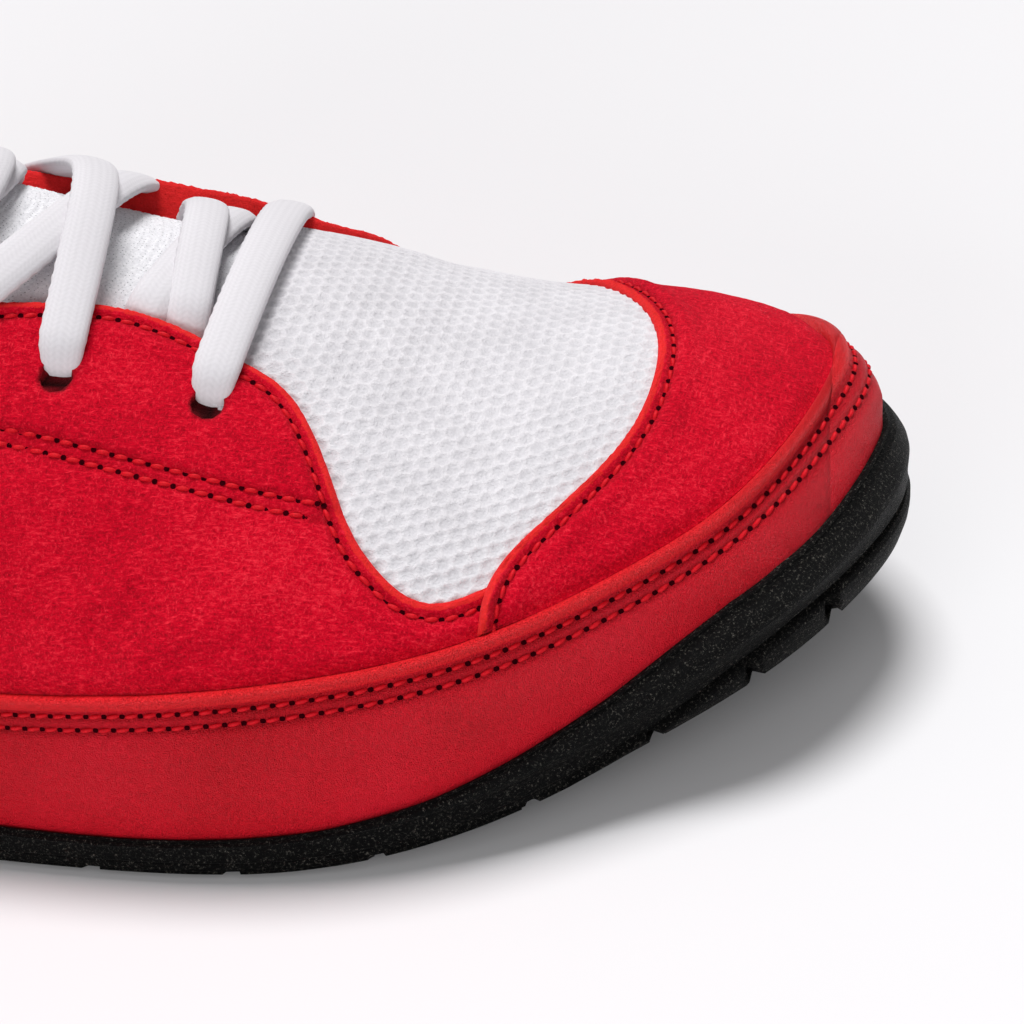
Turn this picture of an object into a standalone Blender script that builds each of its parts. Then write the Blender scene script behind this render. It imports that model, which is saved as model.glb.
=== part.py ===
"""A right wrestling shoe: low sole, hollow mesh upper with suede and leather overlays, and a lace-up shaft.

The whole upper is one loft through the sections of its last. +X points to the toe, -Y to the outer
(lateral) side and +Z up. Sections are measured from the back of the heel; the finished shoe stands
with its sole on z = 0 and the middle of its heel at the origin.
"""

import math
from collections import namedtuple

import bmesh
import bpy
import numpy as np

MM = 0.001

# Sizes of the last
LAST_LENGTH = 284 * MM
BALL_WIDTH = 98 * MM
HEEL_WIDTH = 63 * MM
INSTEP_RISE = 93 * MM
SHAFT_RISE = 58 * MM
COLLAR_DEPTH = 98 * MM
COLLAR_WIDTH = 69 * MM
TOE_LIFT = 17 * MM
FEATHER_HEIGHT = 5 * MM

# Walls, layers and the gap between pieces that touch
WALL = 1.8 * MM
OVERLAY = 1.2 * MM
GAP = 0.3 * MM
RAND_HEIGHT = 20 * MM

# Sole
SOLE_EDGE = 2.7 * MM
SOLE_LIP_HEIGHT = 0.8 * MM
TOE_WRAP_HEIGHT = 15.4 * MM
TOE_WRAP_THICKNESS = 3.0 * MM
TOE_WRAP_LIP = 1.6 * MM
TOE_SPRING = 18.5 * MM
ARCH_HEIGHT = 2.5 * MM
SOLE_UNDERCUT = 2.4 * MM
SOLE_ROUNDING = 1.0 * MM
TREAD_DEPTH = 2.2 * MM
TREAD_GROOVE = 2.4 * MM
SIDE_GROOVE_DEPTH = 1.3 * MM
SIDE_GROOVE_HEIGHT = 1.2 * MM
FLAT_INSET = 9 * MM
INSOLE_THICKNESS = 3.5 * MM
INSOLE_INSET = 2.0 * MM

# Tongue, eyelets and lace
TONGUE_THICKNESS = 4.0 * MM
TONGUE_CROWN = 1.2 * MM
TONGUE_CLEARANCE = 0.4 * MM
EYELET_PAIRS = 9
EYELET_SPACING = 20.8 * MM
EYELET_RADIUS = 2.4 * MM
LACE_WIDTH = 6.0 * MM
LACE_THICKNESS = 2.6 * MM

# One row for each section, from the tongue's top down the shaft and along the foot to the toe.
# along: the section's place in the loft. back, front: where its ends lie along the shoe, as shares of
# LAST_LENGTH (in the shaft, front is the depth as a share of COLLAR_DEPTH). lift: share of TOE_LIFT.
# back_level, front_level: 0 at the feather edge, 1 at the instep, 2 at the collar. The half widths are
# shares of BALL_WIDTH (in the shaft, of COLLAR_WIDTH): foot at the feather edge, side and top at the
# two handles of the section's curve. rise: height share of the side handle. ridge: crest off centre.
Section = namedtuple(
    "Section",
    "along back front lift back_level front_level "
    "lat_foot lat_side lat_top med_foot med_side med_top rise ridge",
)
SHAFT_SECTIONS = [
    Section(-0.10, 0.021, 1.02, 0, 2.36, 2.40, 0, 0.67, 0.65, 0, 0.67, 0.65, 0, 0),
    Section(0.00, 0.028, 1.00, 0, 1.93, 2.00, 0, 0.67, 0.64, 0, 0.67, 0.64, 0, 0),
    Section(0.08, 0.039, 0.99, 0, 1.52, 1.62, 0, 0.64, 0.59, 0, 0.64, 0.59, 0, 0),
    Section(0.16, 0.042, 1.03, 0, 1.07, 1.34, 0, 0.62, 0.57, 0, 0.62, 0.57, 0, 0),
    Section(0.24, 0.028, 1.15, 0, 0.76, 1.14, 0, 0.67, 0.54, 0, 0.67, 0.54, 0, 0.01),
]
FOOT_SECTIONS = [
    Section(0.32, 0.009, 0.458, 0, 0.48, 1.00, 0, 0.52, 0.34, 0, 0.52, 0.34, 0, 0.02),
    Section(0.39, 0.000, 0.489, 0, 0.23, 0.92, 0, 0.56, 0.31, 0, 0.56, 0.31, 0, 0.03),
    Section(0.45, 0.009, 0.518, 0.20, 0.01, 0.83, 0, 0.56, 0.31, 0, 0.56, 0.31, 0.02, 0.03),
    Section(0.51, 0.077, 0.546, 0.20, 0, 0.77, 0.30, 0.55, 0.31, 0.30, 0.54, 0.31, 0.12, 0.04),
    Section(0.58, 0.232, 0.581, 0.20, 0, 0.72, 0.33, 0.46, 0.34, 0.30, 0.42, 0.34, 0.25, 0.05),
    Section(0.65, 0.415, 0.627, 0.14, 0, 0.67, 0.38, 0.43, 0.35, 0.28, 0.33, 0.37, 0.32, 0.06),
    Section(0.72, 0.574, 0.680, 0, 0, 0.635, 0.46, 0.51, 0.35, 0.33, 0.39, 0.38, 0.34, 0.07),
    Section(0.79, 0.704, 0.746, 0, 0, 0.565, 0.50, 0.55, 0.35, 0.41, 0.47, 0.38, 0.36, 0.08),
    Section(0.86, 0.817, 0.827, 0.17, 0, 0.443, 0.42, 0.51, 0.31, 0.43, 0.49, 0.35, 0.36, 0.09),
    Section(0.92, 0.905, 0.907, 0.45, 0, 0.346, 0.25, 0.36, 0.23, 0.36, 0.43, 0.33, 0.38, 0.10),
    Section(0.97, 0.964, 0.969, 0.79, 0, 0.222, 0.10, 0.19, 0.14, 0.245, 0.28, 0.21, 0.42, 0.11),
    Section(0.99, 0.985, 0.986, 0.98, 0, 0.165, -0.01, 0.02, 0.05, 0.133, 0.145, 0.075, 0.42, 0.11),
    Section(1.00, 0.988, 0.990, 1.00, 0, 0.135, -0.07, -0.07, 0, 0.07, 0.07, 0, 0.42, 0.11),
]
TREAD_GROOVES = [0.09, 0.17, 0.25, 0.54, 0.61, 0.68, 0.75, 0.82, 0.885, 0.94]
SIDE_GROOVE_START = 0.72
SIDE_GROOVE_RUN_IN = 0.08
HEEL_TURN = 0.45
HEEL_CENTRE = 0.12
HEEL_REST = 0.14
FOOT_FADE = 3
HEEL_FADE = 7

# The throat's edges run up both sides of the crest: place along the loft, share up the section.
ThroatPoint = namedtuple("ThroatPoint", "along up")
THROAT = [
    ThroatPoint(0.00, 0.84),
    ThroatPoint(0.30, 0.82),
    ThroatPoint(0.65, 0.80),
    ThroatPoint(0.77, 0.79),
]
THROAT_FRONT = 0.765
TONGUE_TOP = -0.085
EYELET_FIRST = 0.747
EYELET_UP = 0.71

# The rand's top line in the side view: along the shoe, then shares of RAND_HEIGHT and of TOE_LIFT.
RandPoint = namedtuple("RandPoint", "along height lift")
RAND_TOP = [
    RandPoint(-0.08, 1.25, 0),
    RandPoint(0.20, 1.10, 0),
    RandPoint(0.42, 1.00, 0),
    RandPoint(0.645, 1.00, 0),
    RandPoint(0.75, 1.08, 0),
    RandPoint(0.838, 1.08, 0.11),
    RandPoint(0.884, 1.08, 0.24),
    RandPoint(0.919, 1.08, 0.385),
    RandPoint(0.944, 1.08, 0.54),
    RandPoint(0.972, 1.08, 0.73),
    RandPoint(1.06, 1.08, 1.06),
]

# The rubber's upper edge, which rises round the toe: along the shoe, share of TOE_WRAP_HEIGHT.
WrapPoint = namedtuple("WrapPoint", "along height")
TOE_WRAP = [
    WrapPoint(0.740, 0),
    WrapPoint(0.790, 0.05),
    WrapPoint(0.831, 0.12),
    WrapPoint(0.870, 0.22),
    WrapPoint(0.915, 0.48),
    WrapPoint(0.960, 0.68),
    WrapPoint(0.985, 0.85),
    WrapPoint(1.000, 1.00),
]

# The toe cap's rear seam in the top view, as shares of LAST_LENGTH and BALL_WIDTH.
CapPoint = namedtuple("CapPoint", "along across")
CAP_SEAM = [
    CapPoint(0.820, -0.75),
    CapPoint(0.819, -0.42),
    CapPoint(0.822, -0.34),
    CapPoint(0.845, -0.25),
    CapPoint(0.876, -0.14),
    CapPoint(0.891, -0.01),
    CapPoint(0.889, 0.09),
    CapPoint(0.875, 0.19),
    CapPoint(0.838, 0.32),
    CapPoint(0.803, 0.42),
    CapPoint(0.799, 0.75),
]

# The quarters' front edge in the side view, as shares of LAST_LENGTH and of INSTEP_RISE.
FrontPoint = namedtuple("FrontPoint", "along up")
LATERAL_FRONT = [
    FrontPoint(0.808, 0.10),
    FrontPoint(0.809, 0.290),
    FrontPoint(0.799, 0.306),
    FrontPoint(0.785, 0.323),
    FrontPoint(0.775, 0.355),
    FrontPoint(0.764, 0.398),
    FrontPoint(0.751, 0.452),
    FrontPoint(0.739, 0.495),
    FrontPoint(0.711, 0.559),
    FrontPoint(0.687, 0.597),
    FrontPoint(0.640, 0.720),
]
MEDIAL_FRONT = [
    FrontPoint(0.782, 0.10),
    FrontPoint(0.786, 0.300),
    FrontPoint(0.780, 0.323),
    FrontPoint(0.772, 0.366),
    FrontPoint(0.761, 0.440),
    FrontPoint(0.748, 0.525),
    FrontPoint(0.725, 0.567),
    FrontPoint(0.697, 0.603),
    FrontPoint(0.640, 0.740),
]

# Stations of the faceted loft along the shoe, and rows up each side.
STATIONS = [0, 0.04, 0.08, 0.12, 0.16, 0.20, 0.24, 0.28, 0.32, 0.36, 0.40, 0.43, HEEL_TURN, 0.46, 0.48]
STATIONS += [0.51, 0.55, 0.60, 0.65, 0.70, 0.735, THROAT_FRONT, 0.80, 0.835, 0.865, 0.89, 0.91, 0.93]
STATIONS += [0.95, 0.967, 0.983, 1.0]
SIDE_ROWS = 6
CREST_ROWS = 2
LATERAL, MEDIAL = -1, 1

RED_SUEDE = ("red_suede", (0.62, 0.012, 0.018), 0.95)
RED_LEATHER = ("red_leather", (0.60, 0.020, 0.024), 0.45)
WHITE_MESH = ("white_mesh", (0.80, 0.80, 0.80), 0.85)
WHITE_LACE = ("white_lace", (0.88, 0.88, 0.88), 0.75)
BLACK_RUBBER = ("black_rubber", (0.012, 0.012, 0.013), 0.7)
GREY_FOAM = ("grey_foam", (0.35, 0.35, 0.36), 0.9)


def spline(places, values, wanted):
    """Natural cubic spline through rows of values, read at the wanted places."""
    places, values = np.asarray(places, float), np.asarray(values, float)
    count, step = len(places), np.diff(places)
    matrix, right = np.eye(count), np.zeros_like(values)
    for i in range(1, count - 1):
        matrix[i, i - 1 : i + 2] = step[i - 1], 2 * (step[i - 1] + step[i]), step[i]
        right[i] = 6 * ((values[i + 1] - values[i]) / step[i] - (values[i] - values[i - 1]) / step[i - 1])
    bend = np.linalg.solve(matrix, right)
    wanted = np.clip(np.asarray(wanted, float), places[0], places[-1])
    k = np.clip(np.searchsorted(places, wanted, side="right") - 1, 0, count - 2)
    a, b, h = (places[k + 1] - wanted)[..., None], (wanted - places[k])[..., None], step[k][..., None]
    curved = (bend[k] * a**3 + bend[k + 1] * b**3) / (6 * h)
    return curved + (values[k] / h - bend[k] * h / 6) * a + (values[k + 1] / h - bend[k + 1] * h / 6) * b


def level_height(level):
    return INSTEP_RISE * min(level, 1) + SHAFT_RISE * max(level - 1, 0)


def section_sizes(row, in_shaft):
    """A table row in metres: ends of the section in the side view, half widths, rise and crest offset."""
    unit = COLLAR_WIDTH if in_shaft else BALL_WIDTH
    back = row.back * LAST_LENGTH
    front = back + row.front * COLLAR_DEPTH if in_shaft else row.front * LAST_LENGTH
    base = FEATHER_HEIGHT + row.lift * TOE_LIFT
    widths = [w * unit for w in row[6:12]]
    ends = [back, base + level_height(row.back_level), front, base + level_height(row.front_level)]
    return [row.along, *ends, *widths, row.rise, row.ridge * unit]


def section_table():
    """All sections, with one more past the toe that mirrors the last, so that the toe closes round."""
    rows = [section_sizes(r, True) for r in SHAFT_SECTIONS] + [section_sizes(r, False) for r in FOOT_SECTIONS]
    tip, last = rows[-1], rows[-2]
    beyond = [2 * tip[0] - last[0], *last[1:5]]
    beyond += [-w for w in (*last[8:11], *last[5:8])] + last[11:]
    return np.array([*rows, beyond])


SECTIONS = section_table()


def heel_round(back, half_width):
    """Half width of the feather edge round the back of the heel."""
    centre = HEEL_CENTRE * LAST_LENGTH
    start = spline(SECTIONS[:, 0], SECTIONS[:, 1:], HEEL_TURN)[0]
    share = np.clip((centre - back) / (centre - start), 0, 1)
    return half_width * np.sqrt(1 - share**2)


def last_point(along, up, side):
    """A point of the last: along the loft, up its section from the feather edge (0) to the crest (1)."""
    along, up = np.broadcast_arrays(np.asarray(along, float), np.asarray(up, float))
    back_x, back_z, front_x, front_z, *widths, rise, ridge = np.moveaxis(
        spline(SECTIONS[:, 0], SECTIONS[:, 1:], along), -1, 0
    )
    foot, handle, top = widths[:3] if side == LATERAL else widths[3:]
    round_heel = np.where(along <= HEEL_TURN, 0, heel_round(back_x, HEEL_WIDTH / 2))
    in_heel = back_x < HEEL_CENTRE * LAST_LENGTH
    foot = np.where((along < 0.6) & in_heel, round_heel, foot)
    b, c, d = 3 * up * (1 - up) ** 2, 3 * up**2 * (1 - up), up**3
    height = b * rise + c + d
    fade = FOOT_FADE + HEEL_FADE * np.clip((0.60 - along) / 0.15, 0, 1)
    across = side * ((1 - up) ** fade * foot + b * handle + c * top) + ridge * (c + d)
    return np.stack([back_x + (front_x - back_x) * height, across, back_z + (front_z - back_z) * height], -1)


def throat_edge(along):
    return np.interp(along, [p.along for p in THROAT], [p.up for p in THROAT])


def side_rows(along, low=0.0):
    """Shares up the section: even steps to the throat's edge, then on to the crest."""
    edge = throat_edge(along)
    return [*np.linspace(low, edge, SIDE_ROWS + 1), *np.linspace(edge, 1, CREST_ROWS + 1)[1:]]


def unit(vectors):
    return vectors / np.maximum(np.linalg.norm(vectors, axis=-1, keepdims=True), 1e-12)


def vertex_normals(points, faces):
    normals = np.zeros_like(points)
    for i, j, k in faces:
        turn = np.cross(points[j] - points[i], points[k] - points[i])
        for corner in (i, j, k):
            normals[corner] += turn
    return unit(normals)


def welded(points, faces):
    """Points closer than a micron made one, and faces with two equal corners dropped."""
    _, first, index = np.unique(np.round(points / 1e-6), axis=0, return_index=True, return_inverse=True)
    index = index.reshape(-1)
    faces = [tuple(index[list(f)]) for f in faces]
    return points[first], [f for f in faces if len(set(f)) == 3], index


def grid_faces(rows, columns, skip=lambda i, j: False):
    """Triangles of a grid whose two halves mirror each other."""
    faces = []
    for i in range(rows - 1):
        for j in range(columns - 1):
            if skip(i, j):
                continue
            a, b, c, d = (m * columns + n for m, n in ((i, j), (i + 1, j), (i + 1, j + 1), (i, j + 1)))
            faces += [(a, b, d), (b, c, d)] if j < columns // 2 else [(a, b, c), (a, c, d)]
    return faces


def last_net():
    """The last's surface as triangles, open at the collar, the throat and underneath, with its normals."""
    rows = np.array([side_rows(t) for t in STATIONS])
    rows[-1, SIDE_ROWS:] = 1
    along = np.array(STATIONS)[:, None]
    lateral = last_point(along, rows, LATERAL)
    medial = last_point(along, rows, MEDIAL)[:, ::-1]
    net = np.concatenate([lateral, medial[:, 1:]], axis=1)
    throat = STATIONS.index(THROAT_FRONT)
    crest = range(SIDE_ROWS, SIDE_ROWS + 2 * CREST_ROWS)
    faces = grid_faces(*net.shape[:2], skip=lambda i, j: i < throat and j in crest)
    points, faces, index = welded(net.reshape(-1, 3), faces)
    normals = vertex_normals(points, faces)
    columns = net.shape[1]
    for i, station in enumerate(STATIONS):
        for j in (0, columns - 1):
            if station >= HEEL_TURN:
                k = index[i * columns + j]
                normals[k] = unit(normals[k] * (1, 1, 0))
    return points, faces, normals


def thickened(net, low, high):
    """A closed solid between two offsets of a net of triangles."""
    points, faces, normals = net
    count = len(points)
    solid = np.concatenate([points + normals * high, points + normals * low])
    edges = {}
    for a, b, c in faces:
        for start, end in ((a, b), (b, c), (c, a)):
            edges[start, end] = True
    shell = list(faces) + [(a + count, c + count, b + count) for a, b, c in faces]
    for start, end in edges:
        if (end, start) not in edges:
            shell += [(end, start, start + count), (end, start + count, end + count)]
    return solid, shell


def material(finish):
    name, colour, roughness = finish
    made = bpy.data.materials.get(name)
    if made is None:
        made = bpy.data.materials.new(name)
        made.use_nodes = True
        shader = made.node_tree.nodes["Principled BSDF"]
        shader.inputs["Base Color"].default_value = (*colour, 1)
        shader.inputs["Roughness"].default_value = roughness
        shader.inputs["Metallic"].default_value = 0
    return made


def add_object(name, points, faces, finish):
    """A mesh object without loose points, its faces turned outwards."""
    mesh = bpy.data.meshes.new(name)
    mesh.from_pydata([tuple(p) for p in points], [], [tuple(int(i) for i in f) for f in faces])
    work = bmesh.new()
    work.from_mesh(mesh)
    bmesh.ops.delete(work, geom=[v for v in work.verts if not v.link_faces], context="VERTS")
    bmesh.ops.recalc_face_normals(work, faces=work.faces)
    if work.calc_volume(signed=True) < 0:
        bmesh.ops.reverse_faces(work, faces=work.faces)
    work.to_mesh(mesh)
    work.free()
    made = bpy.data.objects.new(name, mesh)
    bpy.context.scene.collection.objects.link(made)
    mesh.materials.append(material(finish))
    mesh.shade_smooth()
    mesh.set_sharp_from_angle(angle=math.radians(38))
    return made


def combined(target, other, operation):
    """Joins or cuts the target with another object, which is then removed."""
    modifier = target.modifiers.new(operation, "BOOLEAN")
    modifier.operation, modifier.object, modifier.solver = operation, other, "EXACT"
    graph = bpy.context.evaluated_depsgraph_get()
    result = bpy.data.meshes.new_from_object(target.evaluated_get(graph), depsgraph=graph)
    target.modifiers.clear()
    old, target.data = target.data, result
    result.name = target.name
    bpy.data.meshes.remove(old)
    bpy.data.objects.remove(other)
    return target


def prism(name, outline, axis, low, high):
    """A closed outline drawn across the other two axes, swept along one axis from low to high."""
    others = [k for k in range(3) if k != axis]
    points = np.zeros((2 * len(outline), 3))
    count = len(outline)
    for i, spot in enumerate(outline):
        points[i, others] = points[i + count, others] = spot
        points[i, axis], points[i + count, axis] = low, high
    sides = [(i, (i + 1) % count, (i + 1) % count + count, i + count) for i in range(count)]
    return add_object(name, points, [tuple(range(count)), tuple(range(2 * count - 1, count - 1, -1)), *sides], GREY_FOAM)


def swept(name, path, normals, width, thickness, finish, sides=6):
    """A flat oval cord along a path, lying with its thickness along the normals."""
    path, normals = np.asarray(path, float), unit(np.asarray(normals, float))
    ahead = unit(np.gradient(path, axis=0))
    across = unit(np.cross(ahead, normals))
    up = np.cross(across, ahead)
    angles = np.linspace(0, 2 * math.pi, sides, endpoint=False)
    ring = [
        path + across * math.cos(a) * width / 2 + up * math.sin(a) * thickness / 2 for a in angles
    ]
    points = np.stack(ring, 1).reshape(-1, 3)
    faces = []
    for i in range(len(path) - 1):
        for j in range(sides):
            a, b = i * sides + j, i * sides + (j + 1) % sides
            faces += [(a, b, b + sides), (a, b + sides, a + sides)]
    faces += [tuple(range(sides)), tuple(range(len(points) - 1, len(points) - 1 - sides, -1))]
    return add_object(name, points, faces, finish)


def rand_top(along):
    """Height of the rand's top line at a distance along the shoe."""
    places = [p.along * LAST_LENGTH for p in RAND_TOP]
    heights = [FEATHER_HEIGHT + p.height * RAND_HEIGHT + p.lift * TOE_LIFT for p in RAND_TOP]
    return spline(places, np.array(heights)[:, None], along)[..., 0]


def band_prism(name, low, high):
    """The space between two heights that run parallel to the rand's top line, swept across the shoe."""
    along = np.linspace(RAND_TOP[0].along, RAND_TOP[-1].along, 40) * LAST_LENGTH
    top = rand_top(along)
    reach = 2 * BALL_WIDTH
    floor = top + low if low is not None else np.full_like(top, -reach)
    ceiling = top + high if high is not None else np.full_like(top, 3 * reach)
    outline = [*zip(along, floor), *zip(along[::-1], ceiling[::-1])]
    return prism(name, outline, 1, -reach, reach)


def shell(name, net, low, high, finish):
    return add_object(name, *thickened(net, low, high), finish)


def upper_piece(net):
    return shell("upper", net, -WALL, 0, WHITE_MESH)


def rand_piece(net):
    rand = shell("rand", net, GAP, GAP + OVERLAY, RED_LEATHER)
    return combined(rand, band_prism("below", None, 0), "INTERSECT")


def smooth_line(rows, first, second, count):
    """Points of a smooth line through table rows, whose two columns are shares of two sizes."""
    spots = np.array([(row[0] * first, row[1] * second) for row in rows])
    steps = np.concatenate([[0], np.cumsum(np.linalg.norm(np.diff(spots, axis=0), axis=1))])
    return spline(steps, spots, np.linspace(0, steps[-1], count))


def toe_cap_piece(net):
    cap = shell("toe_cap", net, GAP, GAP + OVERLAY, RED_SUEDE)
    combined(cap, band_prism("above", GAP, None), "INTERSECT")
    seam = smooth_line(CAP_SEAM, LAST_LENGTH, BALL_WIDTH, 36)
    ahead = 1.2 * LAST_LENGTH
    outline = [*seam, (ahead, seam[-1][1]), (ahead, seam[0][1])]
    return combined(cap, prism("front", outline, 2, -BALL_WIDTH, BALL_WIDTH), "INTERSECT")


def quarter_piece(net, side):
    name = "quarter_lateral" if side == LATERAL else "quarter_medial"
    quarter = shell(name, net, GAP, GAP + OVERLAY, RED_SUEDE)
    combined(quarter, band_prism("above", GAP, None), "INTERSECT")
    rows = LATERAL_FRONT if side == LATERAL else MEDIAL_FRONT
    edge = smooth_line(rows, LAST_LENGTH, INSTEP_RISE, 34) + (0, FEATHER_HEIGHT)
    high = 3 * BALL_WIDTH
    behind = -0.2 * LAST_LENGTH
    outline = [(behind, 0), (edge[0][0], 0), *edge, (edge[-1][0], high), (behind, high)]
    near, far = sorted((side * GAP / 2, side * BALL_WIDTH))
    return combined(quarter, prism("side", outline, 1, near, far), "INTERSECT")


def offset_normals(along, up, side):
    """Points and outward normals of the last at given places, by small steps."""
    step = 1e-3
    point = last_point(along, up, side)
    ahead = last_point(np.add(along, step), up, side) - last_point(np.subtract(along, step), up, side)
    higher = last_point(along, np.minimum(np.add(up, step), 1), side)
    lower = last_point(along, np.maximum(np.subtract(up, step), 0), side)
    return point, unit(np.cross(ahead, higher - lower) * -side)


def tongue_rows(along):
    """Shares up the section for the tongue: one row under the quarters, then the throat's own rows."""
    return side_rows(along)[SIDE_ROWS - 1 :]


def tongue_piece():
    """A padded strip under the throat, from inside the vamp to above the collar."""
    last_station = STATIONS[STATIONS.index(THROAT_FRONT) + 1]
    stations = np.array([TONGUE_TOP, TONGUE_TOP / 2, *[t for t in STATIONS if t <= last_station]])
    shares = np.array([tongue_rows(t) for t in stations])
    lateral, lateral_out = offset_normals(stations[:, None], shares, LATERAL)
    medial, medial_out = offset_normals(stations[:, None], shares[:, ::-1], MEDIAL)
    points = np.concatenate([lateral, medial[:, 1:]], axis=1)
    outward = np.concatenate([lateral_out, medial_out[:, 1:]], axis=1)
    outward[:, CREST_ROWS + 1] = unit(lateral_out[:, -1] + medial_out[:, 0])
    steps = np.abs(np.arange(-CREST_ROWS - 1, CREST_ROWS + 2))
    crown = np.sqrt(np.clip(1 - steps / CREST_ROWS, 0, 1))
    in_throat = np.clip((THROAT_FRONT - stations) / (THROAT_FRONT - EYELET_FIRST), 0, 1)
    rise = TONGUE_CROWN * in_throat[:, None] * crown - WALL - TONGUE_CLEARANCE
    points = points + outward * rise[..., None]
    net = points.reshape(-1, 3), grid_faces(*points.shape[:2]), outward.reshape(-1, 3)
    return shell("tongue", net, -TONGUE_THICKNESS, 0, WHITE_MESH)


def sole_bottom(x):
    """Height of the tread above the floor at a distance along the shoe."""
    forward = np.clip((x / LAST_LENGTH - 0.70) / 0.32, 0, None)
    arch = np.clip(1 - np.abs(x / LAST_LENGTH - 0.42) / 0.16, 0, 1)
    return TOE_SPRING * forward**1.9 + ARCH_HEIGHT * arch**2 * (3 - 2 * arch)


def wrap_share(x):
    return np.interp(x / LAST_LENGTH, [p.along for p in TOE_WRAP], [p.height for p in TOE_WRAP])


def back_seam(height):
    """The point of the heel's centre line at a height."""
    line = last_point(np.linspace(HEEL_TURN, 0.3, 40), 0, LATERAL)
    return [np.interp(height, line[:, 2], line[:, 0]), 0, height]


def sole_loop(rise=0.0, out=0.0):
    """A closed loop round the foot, a rise above the feather edge and an offset out from the last.

    It runs along the lateral side from the heel to the toe and back along the medial side. Rise and
    offset are one value, or one for each station.
    """
    stations = np.array([t for t in STATIONS if t >= HEEL_TURN])
    rise, out = np.broadcast_to(rise, stations.shape), np.broadcast_to(out, stations.shape)
    sides, leans = [], []
    for side in (LATERAL, MEDIAL):
        foot = last_point(stations, 0, side)
        ups = np.linspace(0, 0.92, 70)
        heights = last_point(stations[:, None], ups[None, :], side)[..., 2] - foot[:, 2:]
        up = np.array([np.interp(climb, row, ups) for climb, row in zip(rise, heights)])
        point, outward = offset_normals(stations, up, side)
        point[0] = back_seam(foot[0, 2] + rise[0])
        level = np.linalg.norm(outward[:, :2], axis=1)
        leans.append(np.where(rise > 0, np.clip(level, 0.6, 1), 1))
        sides.append(point)
    loop = np.concatenate([sides[0], sides[1][-2:0:-1]])
    offset = np.concatenate([out / leans[0], (out / leans[1])[-2:0:-1]])
    return loop + plan_normals(loop) * offset[:, None]


def loop_solid(name, rings, finish):
    """A closed solid from loops that start and end with flat faces, laddered from side to side."""
    count = len(rings[0])
    points = np.concatenate(rings)
    faces = []
    for k in range(len(rings) - 1):
        for i in range(count):
            a, b = k * count + i, k * count + (i + 1) % count
            faces += [(a, b, b + count), (a, b + count, a + count)]
    half = count // 2
    for base, turn in ((0, -1), ((len(rings) - 1) * count, 1)):
        for i in range(half):
            left, right = base + i, base + (count - i) % count
            near, far = base + i + 1, base + (count - i - 1) % count
            for corners in ((left, near, far), (left, far, right)):
                if len(set(corners)) == 3:
                    faces.append(corners[::turn])
    return add_object(name, points, faces, finish)


def plan_normals(loop):
    """Outward normals in the top view of a closed loop that runs anticlockwise seen from above."""
    ahead = np.roll(loop, -1, axis=0) - np.roll(loop, 1, axis=0)
    return unit(np.stack([ahead[:, 1], -ahead[:, 0], np.zeros(len(loop))], -1))


def at_height(loop, height):
    placed = loop.copy()
    placed[:, 2] = height
    return placed


def sole_rings():
    """Loops of the outsole: footbed, cup wall, rolled lip, side with its groove, and tread."""
    stations = np.array([t for t in STATIONS if t >= HEEL_TURN])
    edge_x = last_point(stations, 0, LATERAL)[:, 0]
    share = wrap_share(edge_x)
    lip = SOLE_LIP_HEIGHT + TOE_WRAP_HEIGHT * share
    inside = GAP + OVERLAY + 2 * GAP
    rim = SOLE_EDGE - inside + (TOE_WRAP_LIP - SOLE_EDGE + inside) * share
    side = SOLE_EDGE + (inside + TOE_WRAP_THICKNESS - SOLE_EDGE) * np.clip(2 * share, 0, 1)
    loop = sole_loop()
    feather = loop[:, 2]
    outer = sole_loop(0, side - SOLE_UNDERCUT / 4)
    low = sole_bottom(outer[:, 0])
    room = feather - low - TREAD_DEPTH
    toe = np.clip((loop[:, 0] / LAST_LENGTH - SIDE_GROOVE_START) / SIDE_GROOVE_RUN_IN, 0, 1)
    depth = SIDE_GROOVE_DEPTH * toe[: len(stations)]
    groove = low + TREAD_DEPTH + np.clip(room / 2, SIDE_GROOVE_HEIGHT / 2, SIDE_GROOVE_HEIGHT)
    inner_walls = [sole_loop(lip * k, inside) for k in (0.35, 0.7, 1)]
    outer_walls = [sole_loop(lip, inside + rim), sole_loop(lip * 0.55, side)]
    lean = SOLE_UNDERCUT / 4
    tread = sole_loop(0, side - SOLE_UNDERCUT - SOLE_ROUNDING)
    middle = sole_loop(0, -FLAT_INSET)
    return [
        at_height(middle, feather - GAP),
        at_height(sole_loop(0, inside), feather - GAP),
        *inner_walls,
        *outer_walls,
        at_height(outer, groove + SIDE_GROOVE_HEIGHT / 2),
        at_height(sole_loop(0, side - lean - depth), groove + SIDE_GROOVE_HEIGHT / 4),
        at_height(sole_loop(0, side - lean - depth), groove - SIDE_GROOVE_HEIGHT / 4),
        at_height(sole_loop(0, side - 1.5 * lean), groove - SIDE_GROOVE_HEIGHT / 2),
        at_height(sole_loop(0, side - SOLE_UNDERCUT), low + SOLE_ROUNDING / 2),
        at_height(tread, sole_bottom(tread[:, 0])),
        at_height(middle, sole_bottom(middle[:, 0])),
    ]


def tread_cut(name, start, end):
    """A groove across the sole from one side to the other, as deep as the lugs."""
    start, end = np.array(start), np.array(end)
    ahead = unit(end - start)
    aside = np.array([-ahead[1], ahead[0]]) * TREAD_GROOVE / 2
    outline = [start + aside, end + aside, end - aside, start - aside]
    middle = (start[0] + end[0]) / 2
    top = float(sole_bottom(np.array(middle))) + TREAD_DEPTH
    return prism(name, outline, 2, -0.05 * LAST_LENGTH, top)


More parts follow.
